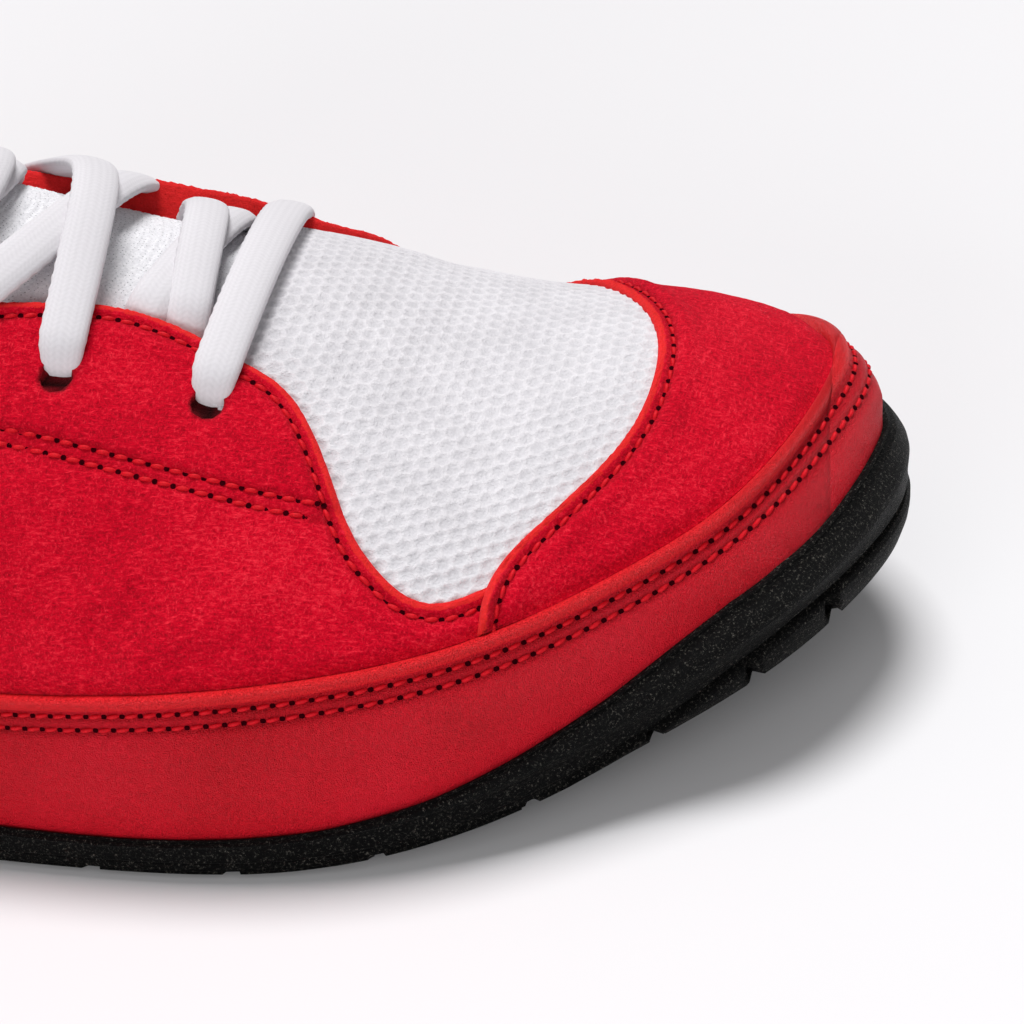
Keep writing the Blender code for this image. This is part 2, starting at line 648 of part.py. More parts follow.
def outsole_piece():
    sole = loop_solid("outsole", sole_rings(), BLACK_RUBBER)
    reach = 0.8 * BALL_WIDTH
    for share in TREAD_GROOVES:
        x = share * LAST_LENGTH
        combined(sole, tread_cut("groove", (x + 0.06 * BALL_WIDTH, -reach), (x, reach)), "DIFFERENCE")
    return sole


def insole_piece():
    inset = -(WALL + INSOLE_INSET)
    middle, edge = sole_loop(0, -FLAT_INSET), sole_loop(0, inset)
    top = at_height(sole_loop(INSOLE_THICKNESS, inset), edge[:, 2] + INSOLE_THICKNESS)
    lifted = at_height(middle, middle[:, 2] + INSOLE_THICKNESS)
    return loop_solid("insole", [middle, edge, top, lifted], GREY_FOAM)


def eyelet_places(side):
    """Places along the loft of a row of eyelets, evenly spaced up the throat's edge."""
    places = np.linspace(EYELET_FIRST, 0, 400)
    row = last_point(places, EYELET_UP, side)
    length = np.concatenate([[0], np.cumsum(np.linalg.norm(np.diff(row, axis=0), axis=1))])
    return np.interp(np.arange(EYELET_PAIRS) * EYELET_SPACING, length, places)


def punch_eyelets(piece, side):
    for place in eyelet_places(side):
        point, outward = offset_normals(place, EYELET_UP, side)
        path = point + np.outer([-2 * WALL, 0, 2 * WALL], outward)
        across = np.tile(np.cross(outward, (0.3, 0.9, 0.1)), (3, 1))
        hole = swept("hole", path, across, 2 * EYELET_RADIUS, 2 * EYELET_RADIUS, GREY_FOAM)
        combined(piece, hole, "DIFFERENCE")


def strand(name, start, end, shares, height, hump):
    """One stretch of lace over the crest, from a lateral to a medial place along the loft."""
    count = 5
    climb = np.linspace(shares, 1, count)
    lateral, lateral_out = offset_normals(np.linspace(start, (start + end) / 2, count), climb, LATERAL)
    medial, medial_out = offset_normals(np.linspace((start + end) / 2, end, count), climb[::-1], MEDIAL)
    points = np.concatenate([lateral, medial[1:]])
    outward = np.concatenate([lateral_out, medial_out[1:]])
    outward[count - 1] = unit(lateral_out[-1] + medial_out[0])
    swell = hump * np.cos(np.linspace(-math.pi / 2, math.pi / 2, len(points))) ** 4
    points = points + outward * (height + swell)[:, None]
    return swept(name, points, outward, LACE_WIDTH, LACE_THICKNESS, WHITE_LACE)


def lace_pieces():
    """A bar over the first pair, then crossings that pass under and over the eyestays in turn."""
    lateral, medial = eyelet_places(LATERAL), eyelet_places(MEDIAL)
    over = GAP + OVERLAY + GAP + LACE_THICKNESS / 2
    under = TONGUE_CROWN - WALL + LACE_THICKNESS / 2 + GAP
    inner = throat_edge(0.5) + 0.055
    outer = EYELET_UP + 0.02
    made = [strand("lace_bar", lateral[0], medial[0], outer, over, 0)]
    hump = 0.85 * LACE_THICKNESS
    for i in range(EYELET_PAIRS - 1):
        name = f"lace_crossing_{i + 1}"
        crosses_over = i % 2 == 1
        share, height = (outer, over) if crosses_over else (inner, under)
        pull = 0 if crosses_over else 0.28
        first, second = lateral[i + 1] - lateral[i], medial[i + 1] - medial[i]
        low_lateral, high_lateral = lateral[i] + pull * first, lateral[i + 1] - pull * first
        low_medial, high_medial = medial[i] + pull * second, medial[i + 1] - pull * second
        lower = strand(name, low_lateral, high_medial, share, height, 0)
        upper = strand("other", high_lateral, low_medial, share, height, hump)
        made.append(combined(lower, upper, "UNION"))
    return made


def main():
    for old in list(bpy.data.objects):
        bpy.data.objects.remove(old)
    net = last_net()
    upper = upper_piece(net)
    quarters = {side: quarter_piece(net, side) for side in (LATERAL, MEDIAL)}
    for side, quarter in quarters.items():
        punch_eyelets(upper, side)
        punch_eyelets(quarter, side)
    rand_piece(net)
    toe_cap_piece(net)
    tongue_piece()
    outsole_piece()
    insole_piece()
    lace_pieces()
    for piece in bpy.data.objects:
        piece.location.x = -HEEL_REST * LAST_LENGTH


main()
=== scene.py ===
"""Looks of the right wrestling shoe: dense panels cut along its seams, stitches, lace, mesh and rubber.

Every surface is worked out from the same last as the solids. A place on the last is (along, across):
along runs from the collar down and on to the toe, across from -1 at the lateral feather edge over the
crest at 0 to +1 at the medial feather edge.
"""

import math
from collections import namedtuple

import bmesh
import bpy
import numpy as np
from mathutils import Matrix, Vector


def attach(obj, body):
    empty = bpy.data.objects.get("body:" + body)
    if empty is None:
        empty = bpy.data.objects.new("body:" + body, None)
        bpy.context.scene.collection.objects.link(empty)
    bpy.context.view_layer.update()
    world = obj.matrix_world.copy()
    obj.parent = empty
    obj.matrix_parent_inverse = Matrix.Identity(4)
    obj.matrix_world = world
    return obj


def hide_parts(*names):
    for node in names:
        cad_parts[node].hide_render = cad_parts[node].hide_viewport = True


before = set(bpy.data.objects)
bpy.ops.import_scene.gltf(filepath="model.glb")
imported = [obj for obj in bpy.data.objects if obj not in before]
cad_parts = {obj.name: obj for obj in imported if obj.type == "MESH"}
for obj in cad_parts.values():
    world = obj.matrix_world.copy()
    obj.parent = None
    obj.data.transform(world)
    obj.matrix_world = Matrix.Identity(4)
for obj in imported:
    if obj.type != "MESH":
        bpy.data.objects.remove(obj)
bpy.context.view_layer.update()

MM = 0.001
COARSE = 1.0
LATERAL, MEDIAL = -1, 1

# The last, as in the solids
LAST_LENGTH = 284 * MM
BALL_WIDTH = 98 * MM
HEEL_WIDTH = 63 * MM
INSTEP_RISE = 93 * MM
SHAFT_RISE = 58 * MM
COLLAR_DEPTH = 98 * MM
COLLAR_WIDTH = 69 * MM
TOE_LIFT = 17 * MM
FEATHER_HEIGHT = 5 * MM
RAND_HEIGHT = 20 * MM
WALL = 1.8 * MM
CAD_OVERLAY = 1.2 * MM
GAP = 0.3 * MM
HEEL_TURN = 0.45
HEEL_CENTRE = 0.12
FOOT_FADE = 3
HEEL_FADE = 7
HEEL_REST = 0.14

Section = namedtuple(
    "Section",
    "along back front lift back_level front_level "
    "lat_foot lat_side lat_top med_foot med_side med_top rise ridge",
)
SHAFT_SECTIONS = [
    Section(-0.10, 0.021, 1.02, 0, 2.36, 2.40, 0, 0.67, 0.65, 0, 0.67, 0.65, 0, 0),
    Section(0.00, 0.028, 1.00, 0, 1.93, 2.00, 0, 0.67, 0.64, 0, 0.67, 0.64, 0, 0),
    Section(0.08, 0.039, 0.99, 0, 1.52, 1.62, 0, 0.64, 0.59, 0, 0.64, 0.59, 0, 0),
    Section(0.16, 0.042, 1.03, 0, 1.07, 1.34, 0, 0.62, 0.57, 0, 0.62, 0.57, 0, 0),
    Section(0.24, 0.028, 1.15, 0, 0.76, 1.14, 0, 0.67, 0.54, 0, 0.67, 0.54, 0, 0.01),
]
FOOT_SECTIONS = [
    Section(0.32, 0.009, 0.458, 0, 0.48, 1.00, 0, 0.52, 0.34, 0, 0.52, 0.34, 0, 0.02),
    Section(0.39, 0.000, 0.489, 0, 0.23, 0.92, 0, 0.56, 0.31, 0, 0.56, 0.31, 0, 0.03),
    Section(0.45, 0.009, 0.518, 0.20, 0.01, 0.83, 0, 0.56, 0.31, 0, 0.56, 0.31, 0.02, 0.03),
    Section(0.51, 0.077, 0.546, 0.20, 0, 0.77, 0.30, 0.55, 0.31, 0.30, 0.54, 0.31, 0.12, 0.04),
    Section(0.58, 0.232, 0.581, 0.20, 0, 0.72, 0.33, 0.46, 0.34, 0.30, 0.42, 0.34, 0.25, 0.05),
    Section(0.65, 0.415, 0.627, 0.14, 0, 0.67, 0.38, 0.43, 0.35, 0.28, 0.33, 0.37, 0.32, 0.06),
    Section(0.72, 0.574, 0.680, 0, 0, 0.635, 0.46, 0.51, 0.35, 0.33, 0.39, 0.38, 0.34, 0.07),
    Section(0.79, 0.704, 0.746, 0, 0, 0.565, 0.50, 0.55, 0.35, 0.41, 0.47, 0.38, 0.36, 0.08),
    Section(0.86, 0.817, 0.827, 0.17, 0, 0.443, 0.42, 0.51, 0.31, 0.43, 0.49, 0.35, 0.36, 0.09),
    Section(0.92, 0.905, 0.907, 0.45, 0, 0.346, 0.25, 0.36, 0.23, 0.36, 0.43, 0.33, 0.38, 0.10),
    Section(0.97, 0.964, 0.969, 0.79, 0, 0.222, 0.10, 0.19, 0.14, 0.245, 0.28, 0.21, 0.42, 0.11),
    Section(0.99, 0.985, 0.986, 0.98, 0, 0.165, -0.01, 0.02, 0.05, 0.133, 0.145, 0.075, 0.42, 0.11),
    Section(1.00, 0.988, 0.990, 1.00, 0, 0.135, -0.07, -0.07, 0, 0.07, 0.07, 0, 0.42, 0.11),
]


def table(*rows):
    """The columns of a table, as arrays."""
    return np.array(rows, float).T


# The rand's top line: place along, height as a share of the rand's height, lift as a share of the toe's
RAND_TOP = table(
    (-0.08, 1.25, 0), (0.20, 1.10, 0), (0.42, 1.00, 0), (0.645, 1.00, 0), (0.75, 1.08, 0),
    (0.838, 1.08, 0.11), (0.884, 1.08, 0.24), (0.919, 1.08, 0.385), (0.944, 1.08, 0.54),
    (0.972, 1.08, 0.73), (1.06, 1.08, 1.06),
)
# How far the sole is wrapped up over the rand: place along, share of the wrap's height
TOE_WRAP = table(
    (0.740, 0), (0.790, 0.07), (0.831, 0.19), (0.870, 0.32), (0.900, 0.47),
    (0.925, 0.59), (0.945, 0.62), (0.970, 0.56), (0.985, 0.52), (1.000, 0.51),
)
# The toe cap's rear seam: place along, place across as a share of the ball's width
CAP_SEAM = table(
    (0.820, -0.75), (0.819, -0.42), (0.822, -0.34), (0.845, -0.25), (0.876, -0.14), (0.891, -0.01),
    (0.889, 0.09), (0.875, 0.19), (0.838, 0.32), (0.803, 0.42), (0.799, 0.75),
)
# Upper edges of the quarters: place along, share up the section
QUARTER_EDGE = {
    LATERAL: table(
        (0.00, 0.840), (0.30, 0.820), (0.50, 0.805), (0.62, 0.795), (0.652, 0.815), (0.690, 0.830),
        (0.733, 0.810), (0.759, 0.780), (0.777, 0.752), (0.790, 0.705), (0.802, 0.635), (0.813, 0.560),
        (0.824, 0.505), (0.834, 0.468), (0.845, 0.452), (0.860, 0.470),
    ),
    MEDIAL: table(
        (0.00, 0.840), (0.30, 0.820), (0.55, 0.820), (0.65, 0.840), (0.70, 0.840), (0.740, 0.825),
        (0.770, 0.790), (0.788, 0.730), (0.802, 0.640), (0.815, 0.555), (0.828, 0.500), (0.842, 0.480),
        (0.852, 0.490),
    ),
}
# The rear seam of the eyestay on a quarter, in the same shares
STAY_SEAM = table(
    (0.00, 0.700), (0.30, 0.665), (0.55, 0.630), (0.665, 0.627),
    (0.710, 0.621), (0.754, 0.607), (0.796, 0.593), (0.815, 0.588),
)
# Edges of the throat in the boot and the tongue, and in the vamp's mesh, in the same shares
THROAT_EDGE = table((0, 0.84), (0.30, 0.82), (0.65, 0.80), (0.77, 0.79))
VAMP_THROAT_EDGE = table((0, 0.84), (0.30, 0.82), (0.65, 0.80), (0.775, 0.79))

# Panels, seams and stitches
PANEL_LOW = 0.80 * MM
SUEDE_HEIGHT = 1.5 * MM
LEATHER_HEIGHT = 1.35 * MM
EDGE_ROUND = 0.9 * MM
PIPING_HEIGHT = 2.5 * MM
PIPING_WIDTH = 2.0 * MM
RAND_STITCHES = (2.75 * MM, 4.55 * MM)
EDGE_STITCH = 2.1 * MM
COLLAR_STITCH = 6.0 * MM
BACK_STITCH = 3.0 * MM
STITCH_PITCH = 2.6 * MM
STITCH_LENGTH = 1.95 * MM
THREAD_RADIUS = 0.32 * MM
HOLE_RADIUS = 0.40 * MM
STAY_STITCHES = (0.0, 2.0 * MM)
GROOVE_WIDTH = 0.62 * MM
STITCH_SINK = 0.30 * MM
STITCH_SLANT = 0.14 * MM
GROOVE_DEPTH = 0.40 * MM
EDGE_GROOVE_DEPTH = 0.45 * MM
RAND_GROOVE_DEPTH = 0.42 * MM
EDGE_SWELL = 0.22 * MM
STAY_RISE = 0.28 * MM
STAY_FRONT = 0.812
RAND_DIP = 0.75 * MM
BACK_SEAM_DEPTH = 0.55 * MM
COLLAR_ROUND = 1.6 * MM
CAP_OVERLAP = 1.3 * MM
SKIRT_FOOT = -0.25 * MM
COLLAR_FIRST = 12

# Eyelets and lace
EYELET_PAIRS = 9
EYELET_SPACING = 20.8 * MM
EYELET_RADIUS = 2.25 * MM
EYELET_FIRST = 0.747
EYELET_UP = 0.71
LACE_WIDTH = 6.3 * MM
LACE_THICKNESS = 2.7 * MM
TONGUE_TOP = -0.085
TONGUE_CORNER = 0.055
TONGUE_CROWN = 1.2 * MM
TONGUE_CLEARANCE = 0.4 * MM
TONGUE_THICKNESS = 4.0 * MM

# Sole
SOLE_EDGE = 2.7 * MM
SOLE_LIP_HEIGHT = 0.8 * MM
TOE_WRAP_HEIGHT = 15.4 * MM
TOE_WRAP_THICKNESS = 3.0 * MM
TOE_SPRING = 18.5 * MM
ARCH_HEIGHT = 2.5 * MM
SIDE_SLIT = 1.2 * MM
SIDE_SLIT_DEPTH = 2.0 * MM
SOLE_UNDERCUT = 1.3 * MM
TREAD_DEPTH = 2.2 * MM
TREAD_GROOVE = 2.4 * MM
SIDE_GROOVE_HEIGHT = 1.4 * MM
FLAT_INSET = 9 * MM
TREAD_GROOVES = [0.09, 0.17, 0.25, 0.54, 0.61, 0.68, 0.75, 0.82, 0.877, 0.923, 0.960]
# The groove along the sole's side: place along, rise from the sole's bottom, depth
SIDE_GROOVE = table(
    (0.740, 1.6 * MM, 0), (0.845, 1.8 * MM, 0.5 * MM), (0.888, 2.8 * MM, 1.2 * MM),
    (0.914, 4.4 * MM, 1.8 * MM), (0.945, 5.6 * MM, 2.1 * MM), (1.000, 5.8 * MM, 2.1 * MM),
)

# Camera: where it stands and how it is rolled, as the photograph was taken
CAMERA_AZIMUTH = math.radians(14)
CAMERA_HEIGHT = math.radians(30)
CAMERA_ROLL = math.radians(-9)
CAMERA_DISTANCE = 450 * MM
CAMERA_TARGET = (230 * MM, 2.5 * MM, 23 * MM)
FRAME_WIDTH = 144.4 * MM

KEY_FROM = (0.0, 0.36, 1.0)
KEY_STRENGTH = 3.35
KEY_SPREAD = 0.45
WORLD_STRENGTH = 0.28
LIT_MIDDLE = (0.15, 0, 0.03)
SOFTBOXES = [
    ("front", (-0.60, -2.30, 0.70), (1.8, 0.9), 33),
    ("side", (0.95, -0.45, 0.50), (0.7, 0.6), 0.6),
]


def spline(places, values, wanted):
    """Natural cubic spline through rows of values, read at the wanted places."""
    places, values = np.asarray(places, float), np.asarray(values, float)
    count, step = len(places), np.diff(places)
    matrix, right = np.eye(count), np.zeros_like(values)
    for i in range(1, count - 1):
        matrix[i, i - 1 : i + 2] = step[i - 1], 2 * (step[i - 1] + step[i]), step[i]
        right[i] = 6 * ((values[i + 1] - values[i]) / step[i] - (values[i] - values[i - 1]) / step[i - 1])
    bend = np.linalg.solve(matrix, right)
    wanted = np.clip(np.asarray(wanted, float), places[0], places[-1])
    k = np.clip(np.searchsorted(places, wanted, side="right") - 1, 0, count - 2)
    a, b, h = (places[k + 1] - wanted)[..., None], (wanted - places[k])[..., None], step[k][..., None]
    curved = (bend[k] * a**3 + bend[k + 1] * b**3) / (6 * h)
    return curved + (values[k] / h - bend[k] * h / 6) * a + (values[k + 1] / h - bend[k + 1] * h / 6) * b


def line_value(places, values, wanted):
    return spline(places, np.array(values, float)[:, None], wanted)[..., 0]


def lengthwise(share):
    """Distance along the shoe of a share of the last's length."""
    return (share - HEEL_REST) * LAST_LENGTH


def lengthwise_share(x):
    """The share of the last's length at a distance along the shoe."""
    return x / LAST_LENGTH + HEEL_REST


def level_height(level):
    return INSTEP_RISE * min(level, 1) + SHAFT_RISE * max(level - 1, 0)


def section_sizes(row, in_shaft):
    unit_width = COLLAR_WIDTH if in_shaft else BALL_WIDTH
    back = row.back * LAST_LENGTH
    front = back + row.front * COLLAR_DEPTH if in_shaft else row.front * LAST_LENGTH
    base = FEATHER_HEIGHT + row.lift * TOE_LIFT
    widths = [w * unit_width for w in row[6:12]]
    ends = [back, base + level_height(row.back_level), front, base + level_height(row.front_level)]
    return [row.along, *ends, *widths, row.rise, row.ridge * unit_width]


def section_table():
    rows = [section_sizes(r, True) for r in SHAFT_SECTIONS]
    rows += [section_sizes(r, False) for r in FOOT_SECTIONS]
    tip, last = rows[-1], rows[-2]
    beyond = [2 * tip[0] - last[0], *last[1:5]]
    beyond += [-w for w in (*last[8:11], *last[5:8])] + last[11:]
    return np.array([*rows, beyond])


SECTIONS = section_table()
HEEL_START = spline(SECTIONS[:, 0], SECTIONS[:, 1:], HEEL_TURN)[0]


def between(value, low, high):
    """Share of the way from low to high, held from 0 to 1."""
    return np.clip((value - low) / (high - low), 0, 1)


def smooth(share):
    """A share from 0 to 1 that starts and ends gently."""
    return share**2 * (3 - 2 * share)


def heel_round(back, half_width):
    centre = HEEL_CENTRE * LAST_LENGTH
    share = between(back, centre, HEEL_START)
    return half_width * np.sqrt(1 - share**2)


def last_point(along, across):
    """Points of the last. The shoe's origin is under the middle of the heel."""
    along, across = np.broadcast_arrays(np.asarray(along, float), np.asarray(across, float))
    sizes = np.moveaxis(spline(SECTIONS[:, 0], SECTIONS[:, 1:], along), -1, 0)
    back_x, back_z, front_x, front_z = sizes[:4]
    rise, ridge = sizes[10:]
    lateral, up = across < 0, 1 - np.abs(across)
    foot, handle, top = np.where(lateral, sizes[4:7], sizes[7:10])
    round_heel = np.where(along <= HEEL_TURN, 0, heel_round(back_x, HEEL_WIDTH / 2))
    foot = np.where((along < 0.6) & (back_x < HEEL_CENTRE * LAST_LENGTH), round_heel, foot)
    b, c, d = 3 * up * (1 - up) ** 2, 3 * up**2 * (1 - up), up**3
    height = b * rise + c + d
    fade = FOOT_FADE + HEEL_FADE * between(along, 0.60, 0.45)
    width = (1 - up) ** fade * foot + b * handle + c * top
    y = np.where(lateral, -width, width) + ridge * (c + d)
    x = lengthwise(0) + back_x + (front_x - back_x) * height
    return np.stack([x, y, back_z + (front_z - back_z) * height], -1)


def unit(vectors):
    return vectors / np.maximum(np.linalg.norm(vectors, axis=-1, keepdims=True), 1e-12)


def last_frame(along, across):
    """Points of the last with their outward normals."""
    step = 1.5e-3
    point = last_point(along, across)
    ahead = last_point(np.add(along, step), across) - last_point(np.subtract(along, step), across)
    right = last_point(along, np.minimum(np.add(across, step), 1))
    left = last_point(along, np.maximum(np.subtract(across, step), -1))
    return point, unit(np.cross(ahead, right - left))


def rand_top(x):
    """Height of the rand's top line at a distance along the shoe."""
    along, height, lift = RAND_TOP
    return line_value(lengthwise(along), FEATHER_HEIGHT + height * RAND_HEIGHT + lift * TOE_LIFT, x)


def crossing(low, high, inside, steps=26):
    """Halves the span until inside(value) turns from true at low to false at high."""
    low, high = np.array(low, float), np.array(high, float)
    for _ in range(steps):
        middle = (low + high) / 2
        keep = inside(middle)
        low, high = np.where(keep, middle, low), np.where(keep, high, middle)
    return (low + high) / 2


def above_rand(along, across):
    point = last_point(along, across)
    return point[..., 2] > rand_top(point[..., 0])


def rand_up(along, side):
    """Share up the section at which the rand's top line crosses it, 0 behind the heel's centre line."""
    along = np.asarray(along, float)
    one, zero = np.ones(along.shape), np.zeros(along.shape)
    crossed = crossing(one, zero, lambda up: above_rand(along, side * (1 - up)))
    under = ~above_rand(along, zero)
    return np.where(above_rand(along, side * one), 0, np.where(under, 1, crossed))


def cap_seam_x(y):
    """Where the toe cap's rear seam lies at a place across the shoe."""
    along, across = CAP_SEAM
    return line_value(across * BALL_WIDTH, lengthwise(along), y)


def cap_seam_along(across):
    across = np.asarray(across, float)

    def behind(along):
        point = last_point(along, across)
        return point[..., 0] < cap_seam_x(point[..., 1])

    return crossing(np.full(across.shape, 0.80), np.full(across.shape, 0.96), behind)


def cap_front_along(across):
    across = np.asarray(across, float)
    return crossing(cap_seam_along(across), np.ones(across.shape), lambda along: above_rand(along, across))


def quarter_edge(along, side):
    """Share up the section at which a quarter ends at the throat."""
    return line_value(*QUARTER_EDGE[side], along)


def throat_edge(along, edge=THROAT_EDGE):
    """Place across the boot at which its throat is cut."""
    return 1 - np.interp(along, *edge)


def even(points):
    """Length along a line of points, starting at 0."""
    return np.concatenate([[0], np.cumsum(np.linalg.norm(np.diff(points, axis=0), axis=1))])


def lengths(points, axis):
    """Length along each line of a grid of points, from its start."""
    steps = np.linalg.norm(np.diff(points, axis=axis), axis=-1)
    start = np.zeros_like(np.take(steps, [0], axis=axis))
    return np.concatenate([start, np.cumsum(steps, axis=axis)], axis=axis)


def link(made):
    bpy.context.scene.collection.objects.link(made)
    return made


def mesh_object(name, points, faces, uv=None, smooth=True):
    """A mesh object; uv holds one place for each vertex, in metres along and across the piece."""
    mesh = bpy.data.meshes.new(name)
    points, faces = np.asarray(points, np.float32), np.asarray(faces, np.int32)
    mesh.vertices.add(len(points))
    mesh.vertices.foreach_set("co", points.ravel())
    size = faces.shape[1]
    mesh.loops.add(faces.size)
    mesh.loops.foreach_set("vertex_index", faces.ravel())
    mesh.polygons.add(len(faces))
    mesh.polygons.foreach_set("loop_start", np.arange(0, faces.size, size, dtype=np.int32))
    mesh.polygons.foreach_set("loop_total", np.full(len(faces), size, dtype=np.int32))
    if uv is not None:
        layer = mesh.uv_layers.new(name="UVMap")
        layer.data.foreach_set("uv", np.asarray(uv, np.float32)[faces.ravel()].ravel())
    mesh.update(calc_edges=True)
    mesh.validate()
    made = bpy.data.objects.new(name, mesh)
    if smooth:
        mesh.shade_smooth()
    return link(made)


def finish(piece, material, slot, *nodes):
    piece.data.materials.clear()
    piece.data.materials.append(material)
    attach(piece, "root")
    if nodes:
        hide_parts(*nodes)
    return piece


def ring_quads(rows, columns):
    """Faces between rows of points that each close on themselves."""
    i, j = np.meshgrid(np.arange(rows - 1), np.arange(columns), indexing="ij")
    a, b = i * columns + j, i * columns + (j + 1) % columns
    return np.stack([a, b, b + columns, a + columns], -1).reshape(-1, 4)


def grid_quads(rows, columns, start=0, flip=False):
    i, j = np.meshgrid(np.arange(rows - 1), np.arange(columns - 1), indexing="ij")
    a = start + i * columns + j
    quads = np.stack([a, a + columns, a + columns + 1, a + 1], -1).reshape(-1, 4)
    return quads[:, ::-1] if flip else quads


def border(rows, columns):
    """Vertex indices round a grid, in order."""
    top = np.arange(columns)
    right = np.arange(1, rows) * columns + columns - 1
    bottom = (rows - 1) * columns + np.arange(columns - 2, -1, -1)
    left = np.arange(rows - 2, 0, -1) * columns
    return np.concatenate([top, right, bottom, left])


def sheet_mesh(name, top, low, uv, flip=False):
    """A grid of points with a skirt down to a lower line round its border."""
    rows, columns = top.shape[:2]
    rim = border(rows, columns)
    points = np.concatenate([top.reshape(-1, 3), low.reshape(-1, 3)[rim]])
    faces = grid_quads(rows, columns, flip=flip)
    count = len(rim)
    a = rim
    b = np.roll(rim, -1)
    c = rows * columns + (np.arange(count) + 1) % count
    d = rows * columns + np.arange(count)
    skirt = np.stack([a, b, c, d], -1)
    if flip:
        skirt = skirt[:, ::-1]
    flat = uv.reshape(-1, 2)
    return mesh_object(name, points, np.concatenate([faces, skirt]), np.concatenate([flat, flat[rim]]))


def round_edge(away, radius):
    """Share of full height at a distance from an edge that is rounded off over a radius."""
    share = between(away, 0, radius)
    return np.sqrt(np.clip(1 - (1 - share) ** 2, 0, 1))


def soft_dip(away, width):
    """1 on a line, falling softly to 0 beyond its width."""
    return np.exp(-((away / width) ** 2))


def ripple(points, scale, seed):
    """A smooth wandering value of about -1 to 1 over points, from a few waves."""
    random = np.random.default_rng(seed)
    total = np.zeros(points.shape[:-1])
    for _ in range(7):
        direction = unit(random.normal(size=3))
        wave = 2 * math.pi / scale * random.uniform(0.6, 1.7)
        total += np.sin(points @ direction * wave + random.uniform(0, 2 * math.pi))
    return total / 3


def distance(points, values):
    """Length over a grid of points from where its values are zero, positive where they are."""
    i_step, j_step = np.gradient(points, axis=0), np.gradient(points, axis=1)
    fi, fj = np.gradient(values, axis=0), np.gradient(values, axis=1)
    e, f, g = (i_step**2).sum(-1), (i_step * j_step).sum(-1), (j_step**2).sum(-1)
    area = np.maximum(e * g - f * f, 1e-20)
    steepness = np.sqrt(np.maximum(g * fi**2 - 2 * f * fi * fj + e * fj**2, 0) / area)
    return values / np.maximum(steepness, 1e-6)


def away_from(points, line):
    """Length from each point to a line of points."""
    flat = points.reshape(-1, 3)
    spans = np.diff(line, axis=0)
    nearest = []
    for block in np.array_split(flat, len(flat) // 200):
        offset = block[:, None] - line[:-1]
        share = np.clip((offset * spans).sum(-1) / (spans**2).sum(-1), 0, 1)
        nearest.append(np.linalg.norm(offset - spans * share[..., None], axis=-1).min(1))
    return np.concatenate(nearest).reshape(points.shape[:-1])


def coordinates(points):
    """Fabric places of a grid: length along its rows and across its columns, in metres."""
    along = lengths(points, 0)
    middle = points.shape[1] // 2
    along = along * 0.35 + along[:, middle : middle + 1] * 0.65
    across = lengths(points, 1)
    across = across - across[:, middle : middle + 1]
    return np.stack([along, across], -1)


def steps(marks):
    values = []
    for (start, step), (end, _) in zip(marks, marks[1:]):
        count = max(1, round((end - start) / step / COARSE))
        values += list(np.linspace(start, end, count + 1)[:-1])
    return np.array([*values, marks[-1][0]])


def tag(piece, name, values):
    """A number at each vertex for the material to read."""
    layer = piece.data.attributes.new(name, "FLOAT", "POINT")
    layer.data.foreach_set("value", np.asarray(values, np.float32).ravel())


def tag_panel(piece, **grids):
    """Numbers over a panel's grid, repeated on the rim of its skirt."""
    for name, values in grids.items():
        tag(piece, name, np.concatenate([values.ravel(), values.ravel()[border(*values.shape)]]))


def line_at(points, outward, values, wanted):
    """The line across the rows of a grid where its values, rising along each row, reach one value."""
    found, normals = [], []
    for row, normal, value in zip(points, outward, values):
        order = np.maximum.accumulate(value)
        if order[0] > wanted or order[-1] < wanted:
            continue
        found.append(along_line(wanted, order, row))
        normals.append(along_line(wanted, order, normal))
    return np.array(found), unit(np.array(normals))


def along_line(wanted, length, points):
    """Points of a line at the wanted lengths along it."""
    return np.stack([np.interp(wanted, length, points[:, c]) for c in range(3)], -1)


def resampled(points, normals, pitch, offset=0.0):
    length = even(points)
    count = int((length[-1] - offset) / pitch)
    wanted = offset + pitch * np.arange(count + 1)
    return along_line(wanted, length, points), unit(along_line(wanted, length, normals))


def swept_tubes(starts, mids, ends, normals, radius, sides=6, rings=5):
    """Small bent tubes: each starts at one point, passes over a middle one and ends at another."""
    share = np.linspace(0, 1, rings)
    weights = np.stack([(1 - share) ** 2, 2 * share * (1 - share), share**2], -1)
    control = np.stack([starts, 2 * mids - (starts + ends) / 2, ends], 1)
    path = np.einsum("rk,nkc->nrc", weights, control)
    ahead = unit(np.gradient(path, axis=1))
    aside = unit(np.cross(ahead, normals[:, None, :]))
    over = np.cross(aside, ahead)
    angle = 2 * math.pi * np.arange(sides) / sides
    swell = radius * (1 - 0.45 * np.abs(2 * share - 1) ** 3)
    ring = aside[:, :, None] * np.cos(angle)[:, None] + over[:, :, None] * np.sin(angle)[:, None]
    points = path[:, :, None] + ring * swell[None, :, None, None]
    first = (np.arange(len(starts)) * rings * sides)[:, None, None]
    return points.reshape(-1, 3), (ring_quads(rings, sides) + first).reshape(-1, 4)


def stitch_line(points, normals, offset):
    """Tubes and holes of one row of stitches along a line on a surface."""
    if len(points) < 3:
        return None
    place, normal = resampled(points, normals, STITCH_PITCH, offset)
    if len(place) < 3:
        return None
    ahead = unit(np.gradient(place, axis=0))
    aside = np.cross(normal, ahead)
    half = ahead * STITCH_LENGTH / 2 + aside * STITCH_SLANT
    starts, ends = place - half - normal * STITCH_SINK, place + half - normal * STITCH_SINK
    tubes = swept_tubes(starts, place + normal * THREAD_RADIUS * 0.6, ends, normal, THREAD_RADIUS)
    holes = place + ahead * STITCH_PITCH / 2
    return tubes, (holes, normal)


